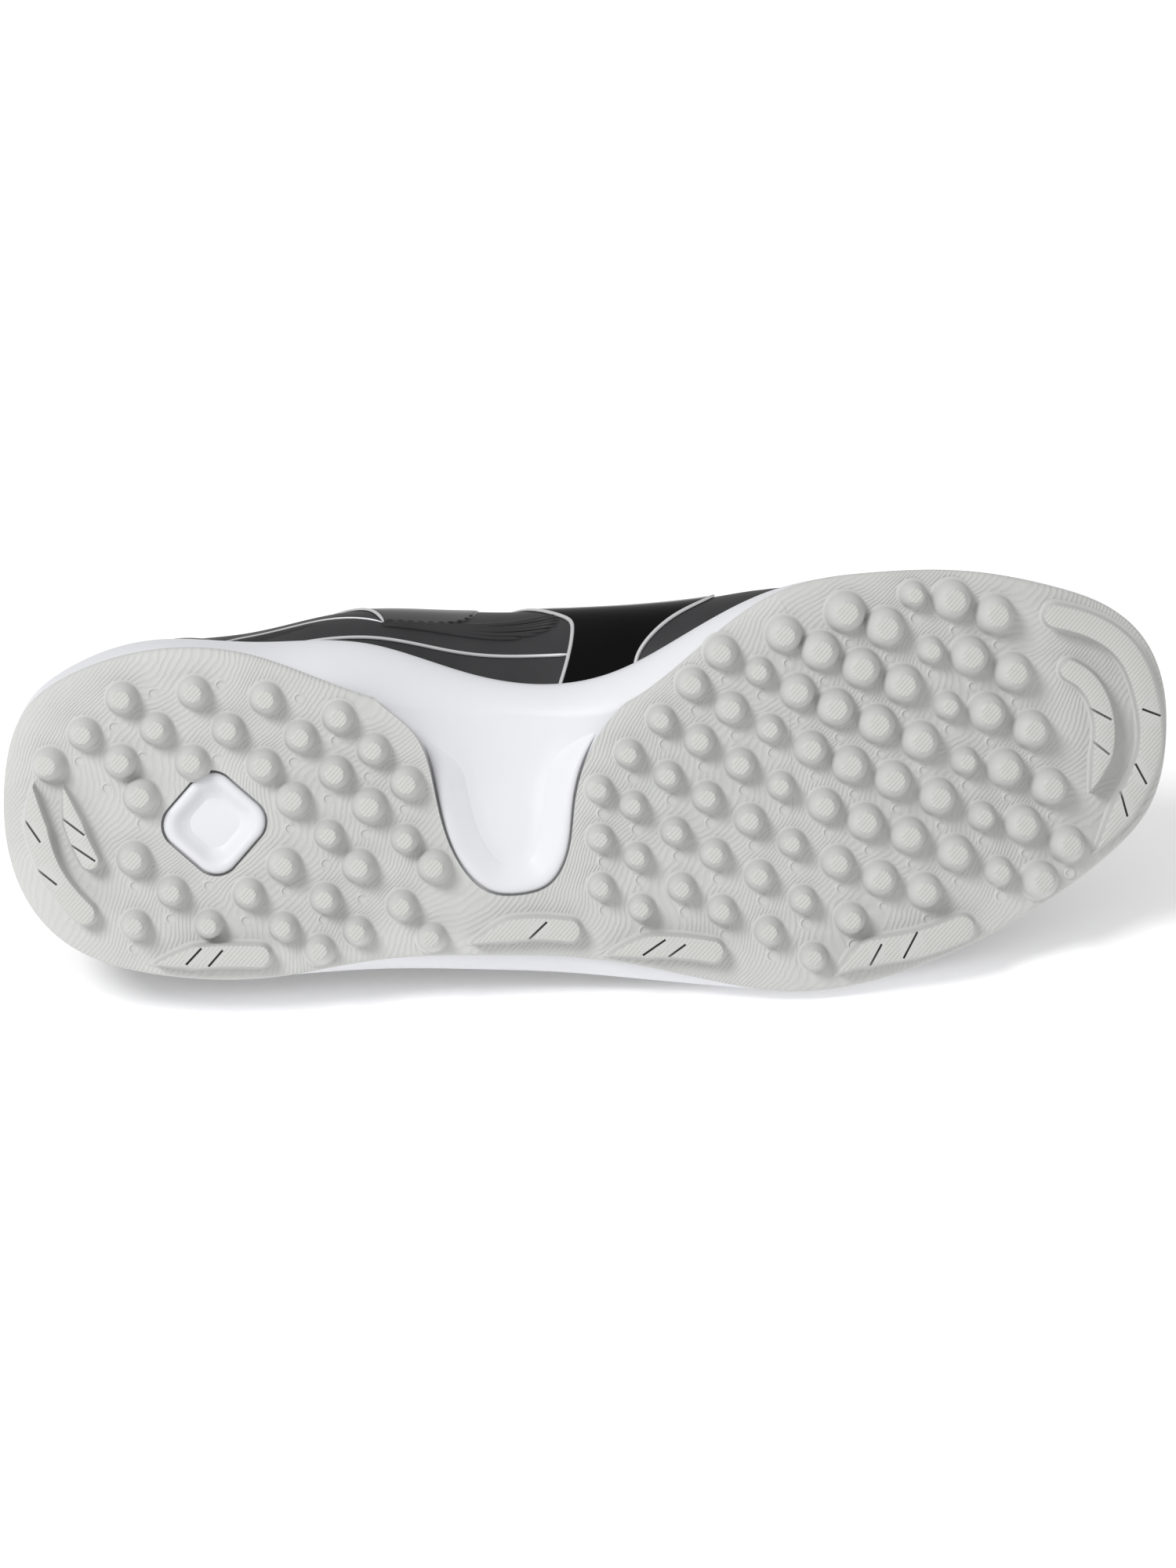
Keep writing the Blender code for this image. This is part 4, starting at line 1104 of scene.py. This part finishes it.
def upper_skin():
    """Outer face of the upper without its relief: [side][station][level] places."""
    along = UPPER_STATIONS
    half = len(along) - 1
    feet = plan_ring(along, FOAM_COLUMNS, -(CUP_WALL + GAP))
    normals = left_of_loop(feet)
    normals[half] = (1.0, 0.0)
    normals[0] = (-1.0, 0.0)
    top_x = upper_column(1, along) * LENGTH
    top_z = upper_column(2, along) * COLLAR_HEIGHT
    spine = upper_column(3, along) * BALL_WIDTH
    open_share = np.clip((throat_foot() - along) / THROAT_ROUND, 0.0, 1.0)
    closing = np.sqrt(1 - (1 - open_share) ** 2)
    shoulder = upper_column(4, along) * BALL_WIDTH
    bulges = [upper_column(c, along) * BALL_WIDTH for c in (5, 6, 7, 8)]
    low_up, high_up = upper_column(9, along), upper_column(10, along)
    share = UPPER_LEVELS[1:, None]
    sides = []
    for side in (LATERAL, MEDIAL):
        sign = 1 - 2 * side
        rows = []
        for i in range(half + 1):
            spot = i if side == LATERAL else -i
            x, y = feet[spot]
            out = np.array((*normals[spot], 0.0))
            up = np.array((0.0, 0.0, 1.0))
            foot = np.array((x, y, footbed(x) + GAP))
            step = np.array((x, y, cup_rim(x, y)))
            top = np.array((top_x[i], spine[i] + sign * shoulder[i] * closing[i], top_z[i]))
            bend = np.array((top_x[i], spine[i] + sign * shoulder[i], top_z[i]))
            tall = top[2] - step[2]
            low = step + out * bulges[2 - 2 * side][i] + up * low_up[i] * tall
            high = bend + out * bulges[3 - 2 * side][i] + up * high_up[i] * tall
            wall = ((1 - share) ** 3 * step + 3 * share * (1 - share) ** 2 * low
                    + 3 * share ** 2 * (1 - share) * high + share ** 3 * top)
            rows.append(np.vstack([foot, wall]))
        sides.append(rows)
    return np.array(sides)


def skin_normals(grid):
    """Outward normals of the upper's grid."""
    along = np.gradient(grid, axis=1)
    level = np.gradient(grid, axis=2)
    normals = unit(np.cross(level, along))
    normals[MEDIAL] *= -1
    return normals


def upper_relief(along, level):
    """Soft relief of the upper at its stations and levels, in metres."""
    along, level = np.meshgrid(along, level, indexing="ij")
    collar = smooth_step((0.46 - along) / 0.12)
    roll = 0.0016 * hump(level, 0.905, 0.060) - 0.0007 * hump(level, 0.800, 0.020)
    relief = roll * collar
    for place, lean, depth in ((0.712, 0.02, 0.0004), (0.745, 0.09, 0.0006),
                               (0.792, 0.05, 0.0004)):
        bend = place + lean * (1 - level) ** 2
        reach = smooth_step((level - 0.30) / 0.30)
        relief -= depth * hump(along, bend, 0.0085) * reach
        relief += 0.5 * depth * hump(along, bend + 0.017, 0.010) * reach
    heel = 0.0006 * hump(level, 0.45, 0.16) * smooth_step((0.10 - along) / 0.08)
    return relief + heel


UPPER_SKIN = upper_skin()
UPPER_NORMALS = skin_normals(UPPER_SKIN)
UPPER_RELIEF = upper_relief(UPPER_STATIONS, UPPER_LEVELS)
THICKEST = 0.0048


def on_skin(side, along, level, lift=0.0):
    """Places and normals on the upper at stations and levels, lifted off it."""
    along, level = np.broadcast_arrays(np.asarray(along, float), np.asarray(level, float))
    a = np.interp(along, UPPER_STATIONS, np.arange(len(UPPER_STATIONS)))
    v = np.interp(level, UPPER_LEVELS, np.arange(len(UPPER_LEVELS)))
    a0 = np.clip(a.astype(int), 0, len(UPPER_STATIONS) - 2)
    v0 = np.clip(v.astype(int), 0, len(UPPER_LEVELS) - 2)
    fa, fv = (a - a0)[..., None], (v - v0)[..., None]

    def mix(grid):
        return ((grid[a0, v0] * (1 - fa) + grid[a0 + 1, v0] * fa) * (1 - fv)
                + (grid[a0, v0 + 1] * (1 - fa) + grid[a0 + 1, v0 + 1] * fa) * fv)

    normal = unit(mix(UPPER_NORMALS[side]))
    relief = mix(UPPER_RELIEF[..., None])
    return mix(UPPER_SKIN[side]) + normal * (relief + np.asarray(lift)[..., None]), normal


def upper_body():
    skin = Skin()
    along, level = np.meshgrid(UPPER_STATIONS, UPPER_LEVELS, indexing="ij")
    thick = UPPER_WALL + 0.0026 * smooth_step((0.44 - along) / 0.10) * hump(level, 0.90, 0.11)
    thick -= 0.0009 * smooth_step((level - 0.975) / 0.025)
    closed = (along > throat_foot()) & (level >= 0.999)
    for side in (LATERAL, MEDIAL):
        places, _ = on_skin(side, along, level)
        places[closed, 1] = UPPER_SKIN[LATERAL][closed, 1]
        rows = skin.add(places).reshape(along.shape)
        for near, far in zip(rows, rows[1:]):
            for k in range(len(near) - 1):
                corners = (near[k], near[k + 1], far[k + 1], far[k])
                skin.faces.append(corners[::-1] if side == MEDIAL else corners)
    upper = skin.bare("upper_shell")
    group = upper.vertex_groups.new(name="thick")
    for index, weight in enumerate(np.tile(thick.ravel(), 2) / THICKEST):
        group.add([index], float(weight), "REPLACE")
    choose(upper)
    bpy.ops.object.mode_set(mode="EDIT")
    bpy.ops.mesh.select_all(action="SELECT")
    bpy.ops.mesh.remove_doubles(threshold=1e-6)
    bpy.ops.object.mode_set(mode="OBJECT")
    for material in (MATT_LEATHER, LINING_CLOTH):
        upper.data.materials.append(material)
    apply_modifier(upper, "SOLIDIFY", thickness=THICKEST, offset=-1.0, use_rim=True,
                   vertex_group="thick", material_offset=1, material_offset_rim=0)
    apply_modifier(upper, "BEVEL", width=0.0006, segments=3, limit_method="ANGLE",
                   angle_limit=math.radians(62.0), use_clamp_overlap=True)
    upper.vertex_groups.clear()
    finish_piece(upper, 55.0)
    return upper


OVERLAY_SINK = 0.0002


def overlay(name, side, heel_edge, toe_edge, material, lift, steps):
    """A thin panel on the upper, between two edge lines of (level, along) places."""
    heel, toe = np.array(heel_edge), np.array(toe_edge)
    low, high = heel[0, 0], heel[-1, 0]
    heights = np.concatenate([[0, 0.012], np.linspace(0.03, 0.97, 44), [0.988, 1]])
    heights = low + (high - low) * heights
    across = np.concatenate([[0, 0.012], np.linspace(0.04, 0.96, steps), [0.988, 1]])
    start = curve_through(heel[:, 0], heel[:, 1], heights)
    end = curve_through(toe[:, 0], toe[:, 1], heights)
    along = start[:, None] + (end - start)[:, None] * across[None, :]
    level = np.broadcast_to(heights[:, None], along.shape)
    edge = np.ones(along.shape)
    edge[[0, -1], :] = 0.0
    edge[:, [0, -1]] = 0.0
    edge[1, 1:-1] = edge[-2, 1:-1] = 0.8
    edge[2:-2, 1] = edge[2:-2, -2] = 0.8
    skin = Skin()
    upper_rows, lower_rows = [skin.add(on_skin(side, along, level, rise)[0]).reshape(along.shape)
                              for rise in (lift * edge, 0 * edge - OVERLAY_SINK)]
    skin.lattice(upper_rows)
    skin.lattice(lower_rows)
    for line in (0, -1):
        skin.bridge(upper_rows[line], lower_rows[line], closed=False)
        skin.bridge(upper_rows[:, line], lower_rows[:, line], closed=False)
    return skin.piece(name, material, smooth=60.0)


def add_cord(skin, places, normals, width, height, sink=0.0001):
    """A raised line with a rounded back along places on the upper."""
    tangent = unit(np.gradient(places, axis=0))
    side = unit(np.cross(tangent, normals))
    count = len(places)
    ends = np.minimum(np.arange(count), np.arange(count)[::-1])
    taper = np.sqrt(np.clip((ends + 0.4) / 3.0, 0.0, 1.0))[:, None]
    rings = []
    for across, up in ((-0.50, 0.0), (-0.44, 0.45), (-0.24, 0.90), (0.0, 1.0),
                       (0.24, 0.90), (0.44, 0.45), (0.50, 0.0)):
        rings.append(skin.add(places + side * width * across * taper
                              + normals * (height * up * taper - sink)))
    rings.append(skin.add(places - normals * sink * 2))
    for near, far in zip(rings, rings[1:] + rings[:1]):
        skin.bridge(near, far, closed=False)
    skin.faces.append(tuple(ring[0] for ring in rings))
    skin.faces.append(tuple(ring[-1] for ring in rings)[::-1])


def skin_line(side, points, lift=0.0, spacing=0.0009):
    """Places and normals along a smooth line of (along, level) points on the upper."""
    rough, _ = on_skin(side, *path_through(points, 60).T)
    length = np.linalg.norm(np.diff(rough, axis=0), axis=1).sum()
    line = path_through(points, max(8, int(length / spacing)))
    return on_skin(side, line[:, 0], line[:, 1], np.full(len(line), lift))


def piping(name, lines, material, width, height, lift=0.0):
    skin = Skin()
    for side, points in lines:
        places, normals = skin_line(side, points, lift)
        add_cord(skin, places, normals, width, height)
    return skin.piece(name, material, smooth=60.0)


def stitching(name, lines, material, lift, length=0.0019, pitch=0.0027, width=0.00055):
    skin = Skin()
    for side, points in lines:
        places, normals = skin_line(side, points, lift, spacing=0.0003)
        run = run_of(places)
        for start in np.arange(0.0004, run[-1] - length, pitch):
            at = np.linspace(start, start + length, 7)
            add_cord(skin, read_along(at, run, places), unit(read_along(at, run, normals)),
                     width, 0.00032, 0.00012)
    return skin.piece(name, material, smooth=70.0)


# Lines on the medial side that the photo shows. Columns: along, level
WAIST_LINE = ((0.236, 0.075), (0.262, 0.118), (0.300, 0.125), (0.340, 0.130), (0.379, 0.136),
              (0.439, 0.160), (0.471, 0.166), (0.498, 0.160))
RISING_LINE = ((0.176, 0.120), (0.200, 0.240), (0.231, 0.320), (0.275, 0.350), (0.305, 0.315),
               (0.330, 0.250))
RETURN_LINE = ((0.330, 0.250), (0.326, 0.350), (0.320, 0.460), (0.305, 0.600), (0.287, 0.775))

# Edges of the glossy band. Columns: level, along
BAND_HEEL = ((0.015, 0.476), (0.100, 0.487), (0.200, 0.502), (0.270, 0.513), (0.330, 0.519),
             (0.400, 0.512), (0.520, 0.495), (0.650, 0.480), (0.780, 0.470))
BAND_TOE = ((0.015, 0.540), (0.085, 0.552), (0.150, 0.577), (0.190, 0.596), (0.240, 0.620),
            (0.330, 0.640), (0.450, 0.640), (0.600, 0.615), (0.780, 0.580))


def swap(points):
    return [(b, a) for a, b in points]


# Edges of the panel under the collar, made lighter partly by its own grey and partly by a painted
# highlight. Columns: level, along
PANEL_HEEL = ((0.262, 0.331), (0.350, 0.327), (0.460, 0.321), (0.600, 0.306), (0.780, 0.288))
PANEL_TOE = ((0.262, 0.334), (0.272, 0.352), (0.290, 0.372), (0.330, 0.394), (0.440, 0.416),
             (0.600, 0.436), (0.780, 0.446))


# Panels on the upper. Columns: name, heel edge, toe edge (level, along), finish, lift, steps
OVERLAYS = (
    ("band", BAND_HEEL, BAND_TOE, GLOSS_BAND, 0.0005, 34),
    ("collar_panel", PANEL_HEEL, PANEL_TOE, PANEL_LEATHER, 0.0004, 26),
    ("counter", ((0.0, 0.0), (0.4, 0.0), (0.74, 0.0)),
     ((0.0, 0.205), (0.2, 0.190), (0.4, 0.150), (0.6, 0.105), (0.74, 0.085)),
     SMOOTH_LEATHER, 0.0006, 26),
    ("eyestay", ((0.80, 0.430), (0.9, 0.415), (0.99, 0.408)),
     ((0.80, 0.668), (0.83, 0.690), (0.88, 0.702), (0.99, 0.708)), SMOOTH_LEATHER, 0.0006, 60),
    ("toe_rand", ((0.0, 0.845), (0.12, 0.865), (0.24, 0.905)),
     ((0.0, 1.0), (0.12, 1.0), (0.24, 1.0)), SMOOTH_LEATHER, 0.0005, 26),
)

# Seams. Columns: along, level
COUNTER_SEAM = ((0.104, 0.60), (0.146, 0.40), (0.184, 0.20), (0.198, 0.06))
UPPER_SEAMS = (
    ((0.440, 0.815), (0.520, 0.815), (0.600, 0.815), (0.695, 0.815)),
    ((0.850, 0.06), (0.868, 0.125), (0.905, 0.222), (0.960, 0.225), (1.000, 0.225)),
    ((0.225, 0.79), (0.300, 0.79), (0.400, 0.79)),
)


def on_both(*lines):
    return [(side, line) for side in BOTH_SIDES for line in lines]


def fan_ridge(k):
    """One of eight ridges that spread from the waist towards the band."""
    share = k / 7
    return ((0.328 + 0.012 * (k % 3), 0.222 + 0.026 * share),
            (0.380, 0.234 + 0.052 * share + 0.003 * math.sin(3.1 * k)),
            (0.435, 0.246 + 0.095 * share + 0.003 * math.sin(2.3 * k)),
            (0.511 - 0.057 * (1 - share) ** 3, 0.254 + 0.145 * share))


def streak(k):
    start, level = 0.188 + 0.011 * k, 0.222 + 0.020 * k
    return (start, level), (start + 0.022, level + 0.002), (start + 0.046, level - 0.002)


def upper_details():
    """Band, overlays, piping, ridges and seams of the upper."""
    for side, label in zip(BOTH_SIDES, ("medial", "lateral")):
        for name, heel_edge, toe_edge, material, lift, steps in OVERLAYS:
            overlay(f"{name}_{label}", side, heel_edge, toe_edge, material, lift, steps)
    piping("band_piping", on_both(swap(BAND_HEEL), swap(BAND_TOE)), SILVER_PIPING,
           0.0011, 0.0005, 0.0003)
    piping("silver_piping", on_both(WAIST_LINE, RETURN_LINE), SILVER_PIPING,
           0.0009, 0.0005, 0.0003)
    piping("fine_piping", on_both(RISING_LINE), SILVER_PIPING, 0.0005, 0.0003, 0.0001)
    piping("fan_ridges", on_both(*map(fan_ridge, range(8))), RIDGE_LEATHER, 0.0010, 0.0008)
    piping("wrinkle_streaks", on_both(*map(streak, range(5))), RIDGE_LEATHER, 0.0005, 0.0003)
    dashes = [(along - 0.003, level) for level, along in PANEL_TOE[:5]]
    stitching("bold_stitches", on_both(dashes), THREAD_AND_HOLE_SHADE, 0.0004, 0.0016, 0.0026, 0.0010)
    stitching("seam_stitches", [(LATERAL, COUNTER_SEAM), *on_both(*UPPER_SEAMS)], THREAD_AND_HOLE_SHADE, 0.0006)


# Throat: tongue, eyelets and lace

def throat_at(side, top_x, level, lift=0.0):
    """Place and normal on the upper in the section that tops at top_x."""
    tops = UPPER_SKIN[LATERAL][:, -1, 0]
    along = np.interp(top_x, tops, UPPER_STATIONS)
    place, normal = on_skin(side, np.array([along]), np.array([level]), np.array([lift]))
    return place[0], normal[0]


def crest_share():
    table = np.array(UPPER_PLAN)
    return float(table[np.argmax(table[:, 2]), 1])


def tongue_rows():
    rows = []
    drop = -(UPPER_WALL + TONGUE_CLEAR)
    for top in np.linspace(THROAT_END + 0.04, crest_share(), 26):
        (low_m, edge_m), (low_l, edge_l) = [
            [throat_at(side, top * LENGTH, level, drop)[0] for level in (0.86, 1.0)]
            for side in BOTH_SIDES]
        middle = (edge_m + edge_l) / 2
        opening = edge_l[1] - edge_m[1]
        middle[2] += TONGUE_ARCH * opening * smooth_step((THROAT_END - top) / THROAT_ROUND - 0.3)
        knots = [low_m, edge_m, middle, edge_l, low_l]
        if np.linalg.norm(edge_m - edge_l) < 0.004:
            knots = [low_m, middle, low_l]
        rows.append(path_through(knots, 33))
    last = rows[-1]
    centre = last.mean(axis=0)
    rise = unit(centre - rows[-6].mean(axis=0))
    rows[-1] = centre + (last - centre) * 0.93
    for reach in np.linspace(0.1, 1.0, 12):
        width = np.interp(reach, (0.0, 0.35, 0.70, 0.92, 1.0), (0.90, 0.84, 0.78, 0.68, 0.52))
        rows.append(centre + (last - centre) * width + rise * TONGUE_FREE * reach)
    return rows


def tongue_pad():
    skin = Skin()
    skin.lattice([skin.add(row) for row in tongue_rows()])
    tongue = skin.bare("tongue_pad")
    tongue.data.materials.append(TONGUE_CLOTH)
    apply_modifier(tongue, "SOLIDIFY", thickness=TONGUE_THICK, offset=-1.0, use_rim=True)
    apply_modifier(tongue, "BEVEL", width=0.0011, segments=4, limit_method="ANGLE",
                   angle_limit=math.radians(60.0))
    finish_piece(tongue, 60.0)
    return tongue


def eyelet_tops():
    """Where along the throat the eyelet rows lie, from its front end to its top."""
    low = (THROAT_END - 0.020) * LENGTH
    return np.linspace(low, crest_share() * LENGTH + 0.006, LACE_ROWS)


def eyelet_rings():
    """Rings round the lace holes, each with a near-black disc as the painted shade of its hole,
    modelled once and copied.
    """
    bpy.ops.mesh.primitive_torus_add(major_radius=0.0025, minor_radius=0.0006,
                                     major_segments=28, minor_segments=10,
                                     location=(0.0, 0.0, 0.0))
    ring = bpy.context.active_object
    ring.data.materials.append(EYELET_FINISH)
    # A near-black disc inside the ring: painted shade of the lace hole, which is not cut into the
    # upper.
    bpy.ops.mesh.primitive_cylinder_add(radius=0.0024, depth=0.0006, vertices=24,
                                        location=(0.0, 0.0, -0.0003))
    floor = bpy.context.active_object
    floor.data.materials.append(THREAD_AND_HOLE_SHADE)
    first = join_up([ring, floor], "first_ring")
    rings = []
    for side in BOTH_SIDES:
        for top in eyelet_tops():
            place, normal = throat_at(side, top, EYELET_LEVEL, 0.0008)
            turn = Vector((0, 0, 1)).rotation_difference(Vector(normal))
            ring = first.copy()
            ring.data = first.data.copy()
            ring.matrix_world = Matrix.Translation(place) @ turn.to_matrix().to_4x4()
            bpy.context.scene.collection.objects.link(ring)
            rings.append(ring)
    bpy.data.objects.remove(first, do_unlink=True)
    joined = join_up(rings, "eyelet_rings")
    finish_piece(joined, 50.0)
    return joined


# How a lace leaves its eyelet for the throat's edge. Columns: level, lift
LACE_RISE = ((EYELET_LEVEL, 0.0002), (EYELET_LEVEL + 0.035, 0.0016), (1.0, 0.0014))


def lace_path(start, end, rise):
    """Path and facing of a lace run from one eyelet over the tongue to another."""
    near = [throat_at(*start, level, lift) for level, lift in LACE_RISE]
    far = [throat_at(*end, level, lift) for level, lift in LACE_RISE[::-1]]
    (from_place, from_normal), (to_place, to_normal) = near[-1], far[0]
    across = np.linalg.norm(from_place - to_place)
    up = unit(from_normal + to_normal)
    middle = (from_place + to_place) / 2 + up * (0.0010 + TONGUE_ARCH * across + rise)
    knots, faces = [np.array(column) for column in zip(*near, (middle, up), *far)]
    run = run_of(knots)
    facing = unit(read_along(run[-1] * np.linspace(0, 1, LACE_STEPS), run, faces))
    return path_through(knots, LACE_STEPS), facing


LACE_SECTION = ((-0.50, 0.0), (-0.47, 0.30), (-0.38, 0.46), (0.0, 0.50), (0.38, 0.46),
                (0.47, 0.30), (0.50, 0.0), (0.47, -0.30), (0.38, -0.46), (0.0, -0.50),
                (-0.38, -0.46), (-0.47, -0.30))


def lace_run(name, start, end, rise):
    path, facing = lace_path(start, end, rise)
    tangent = unit(np.gradient(path, axis=0))
    side = unit(np.cross(tangent, facing))
    up = unit(np.cross(side, tangent))
    skin = Skin()
    rings = []
    for k, place in enumerate(path):
        wide = LACE_WIDTH * (1 - 0.35 * hump(min(k, len(path) - 1 - k), 0, 3))
        rings.append(skin.add([place + side[k] * wide * w + up[k] * LACE_THICK * t
                               for w, t in LACE_SECTION]))
    skin.tube(rings, ends=(0, -1))
    return skin.piece(name, LACE_CLOTH, smooth=50.0)


def laces():
    tops = eyelet_tops()
    front = tops[0] + 0.0016
    bar = lace_run("lace_front_bar", (LATERAL, front), (MEDIAL, front), 0.0)
    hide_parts("lace_bar")
    for row, (low, high) in enumerate(zip(tops, tops[1:]), 1):
        over = lace_run(f"lace_over_{row}", (LATERAL, low), (MEDIAL, high), 0.0011)
        lace_run(f"lace_under_{row}", (MEDIAL, low), (LATERAL, high), -0.0004)
        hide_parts(f"lace_cross_{row}")


# Camera, floor and light

SIGHT_LEAN = math.radians(5.0)
SIGHT_ROLL = math.radians(3.0)
SIGHT_REACH = 1.6
SIGHT_POINT = Vector((0.1425, 0.0002, 0.006))
SIGHT_LENS = 151.2


def sight_turn():
    """Right, up and back of the camera, in the row frame, as a matrix's columns."""
    back = Vector((0.0, -math.sin(SIGHT_LEAN), -math.cos(SIGHT_LEAN)))
    along = Vector((1.0, 0.0, 0.0))
    medial = back.cross(along)
    right = along * math.cos(SIGHT_ROLL) - medial * math.sin(SIGHT_ROLL)
    up = along * math.sin(SIGHT_ROLL) + medial * math.cos(SIGHT_ROLL)
    return POSE.to_3x3() @ Matrix((right, up, back)).transposed()


def set_camera():
    turn = sight_turn()
    aim = POSE @ SIGHT_POINT
    bpy.ops.object.camera_add()
    camera = bpy.context.active_object
    camera.name = "camera"
    camera.data.lens = SIGHT_LENS
    camera.data.sensor_fit = "VERTICAL"
    camera.data.sensor_height = 36.0
    camera.matrix_world = Matrix.Translation(aim + turn.col[2] * SIGHT_REACH) @ turn.to_4x4()
    bpy.context.scene.camera = camera


def add_light(name, way, reach, size, power):
    """A soft light; way is (right, up, back) as the camera sees it."""
    turn = sight_turn()
    aim = POSE @ SIGHT_POINT
    place = aim + (turn @ Vector(way).normalized()) * reach
    bpy.ops.object.light_add(type="AREA", location=place)
    light = bpy.context.active_object
    light.name = name
    light.data.shape = "DISK"
    light.data.size = size
    light.data.energy = power
    light.rotation_euler = (place - aim).to_track_quat("Z", "Y").to_euler()


def set_stage():
    bpy.ops.mesh.primitive_plane_add(size=8.0, location=(0.0, 0.0, -0.00002))
    floor = bpy.context.active_object
    floor.name = "floor"
    paper = finish("white_paper", (0.93, 0.93, 0.93), 0.85, Specular_IOR_Level=0.1,
                   Emission_Color=(1.0, 1.0, 1.0, 1.0), Emission_Strength=0.27)
    places = add_node(paper, "TexCoord")
    speck = add_node(paper, "TexNoise", [("Vector", places, "Object")], Scale=300.0)
    end_bump(paper, raise_bump(paper, speck, "Fac", 0.02, 0.0002))
    floor.data.materials.append(paper)
    world = bpy.data.worlds.new("studio")
    bpy.context.scene.world = world
    world.use_nodes = True
    sky = world.node_tree.nodes["Background"]
    sky.inputs["Color"].default_value = (1.0, 1.0, 1.0, 1.0)
    sky.inputs["Strength"].default_value = 0.58
    add_light("key", (-0.66, 0.58, 1.0), 2.2, 0.80, 29.5)
    bpy.context.scene.view_settings.view_transform = "Standard"


def build_shoe():
    sheet = rubber_sheet()
    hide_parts("outsole")
    for piece in (stud_field(), lug_field(), ring_field()):
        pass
    foam = foam_body()
    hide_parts("midsole")
    for piece in (arch_cushion(), heel_window()):
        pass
    insole = insole_sheet()
    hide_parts("insole")
    upper = upper_body()
    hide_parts("upper")
    upper_details()
    tongue = tongue_pad()
    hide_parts("tongue")
    eyelet_rings()
    laces()


build_shoe()
set_stage()
set_camera()
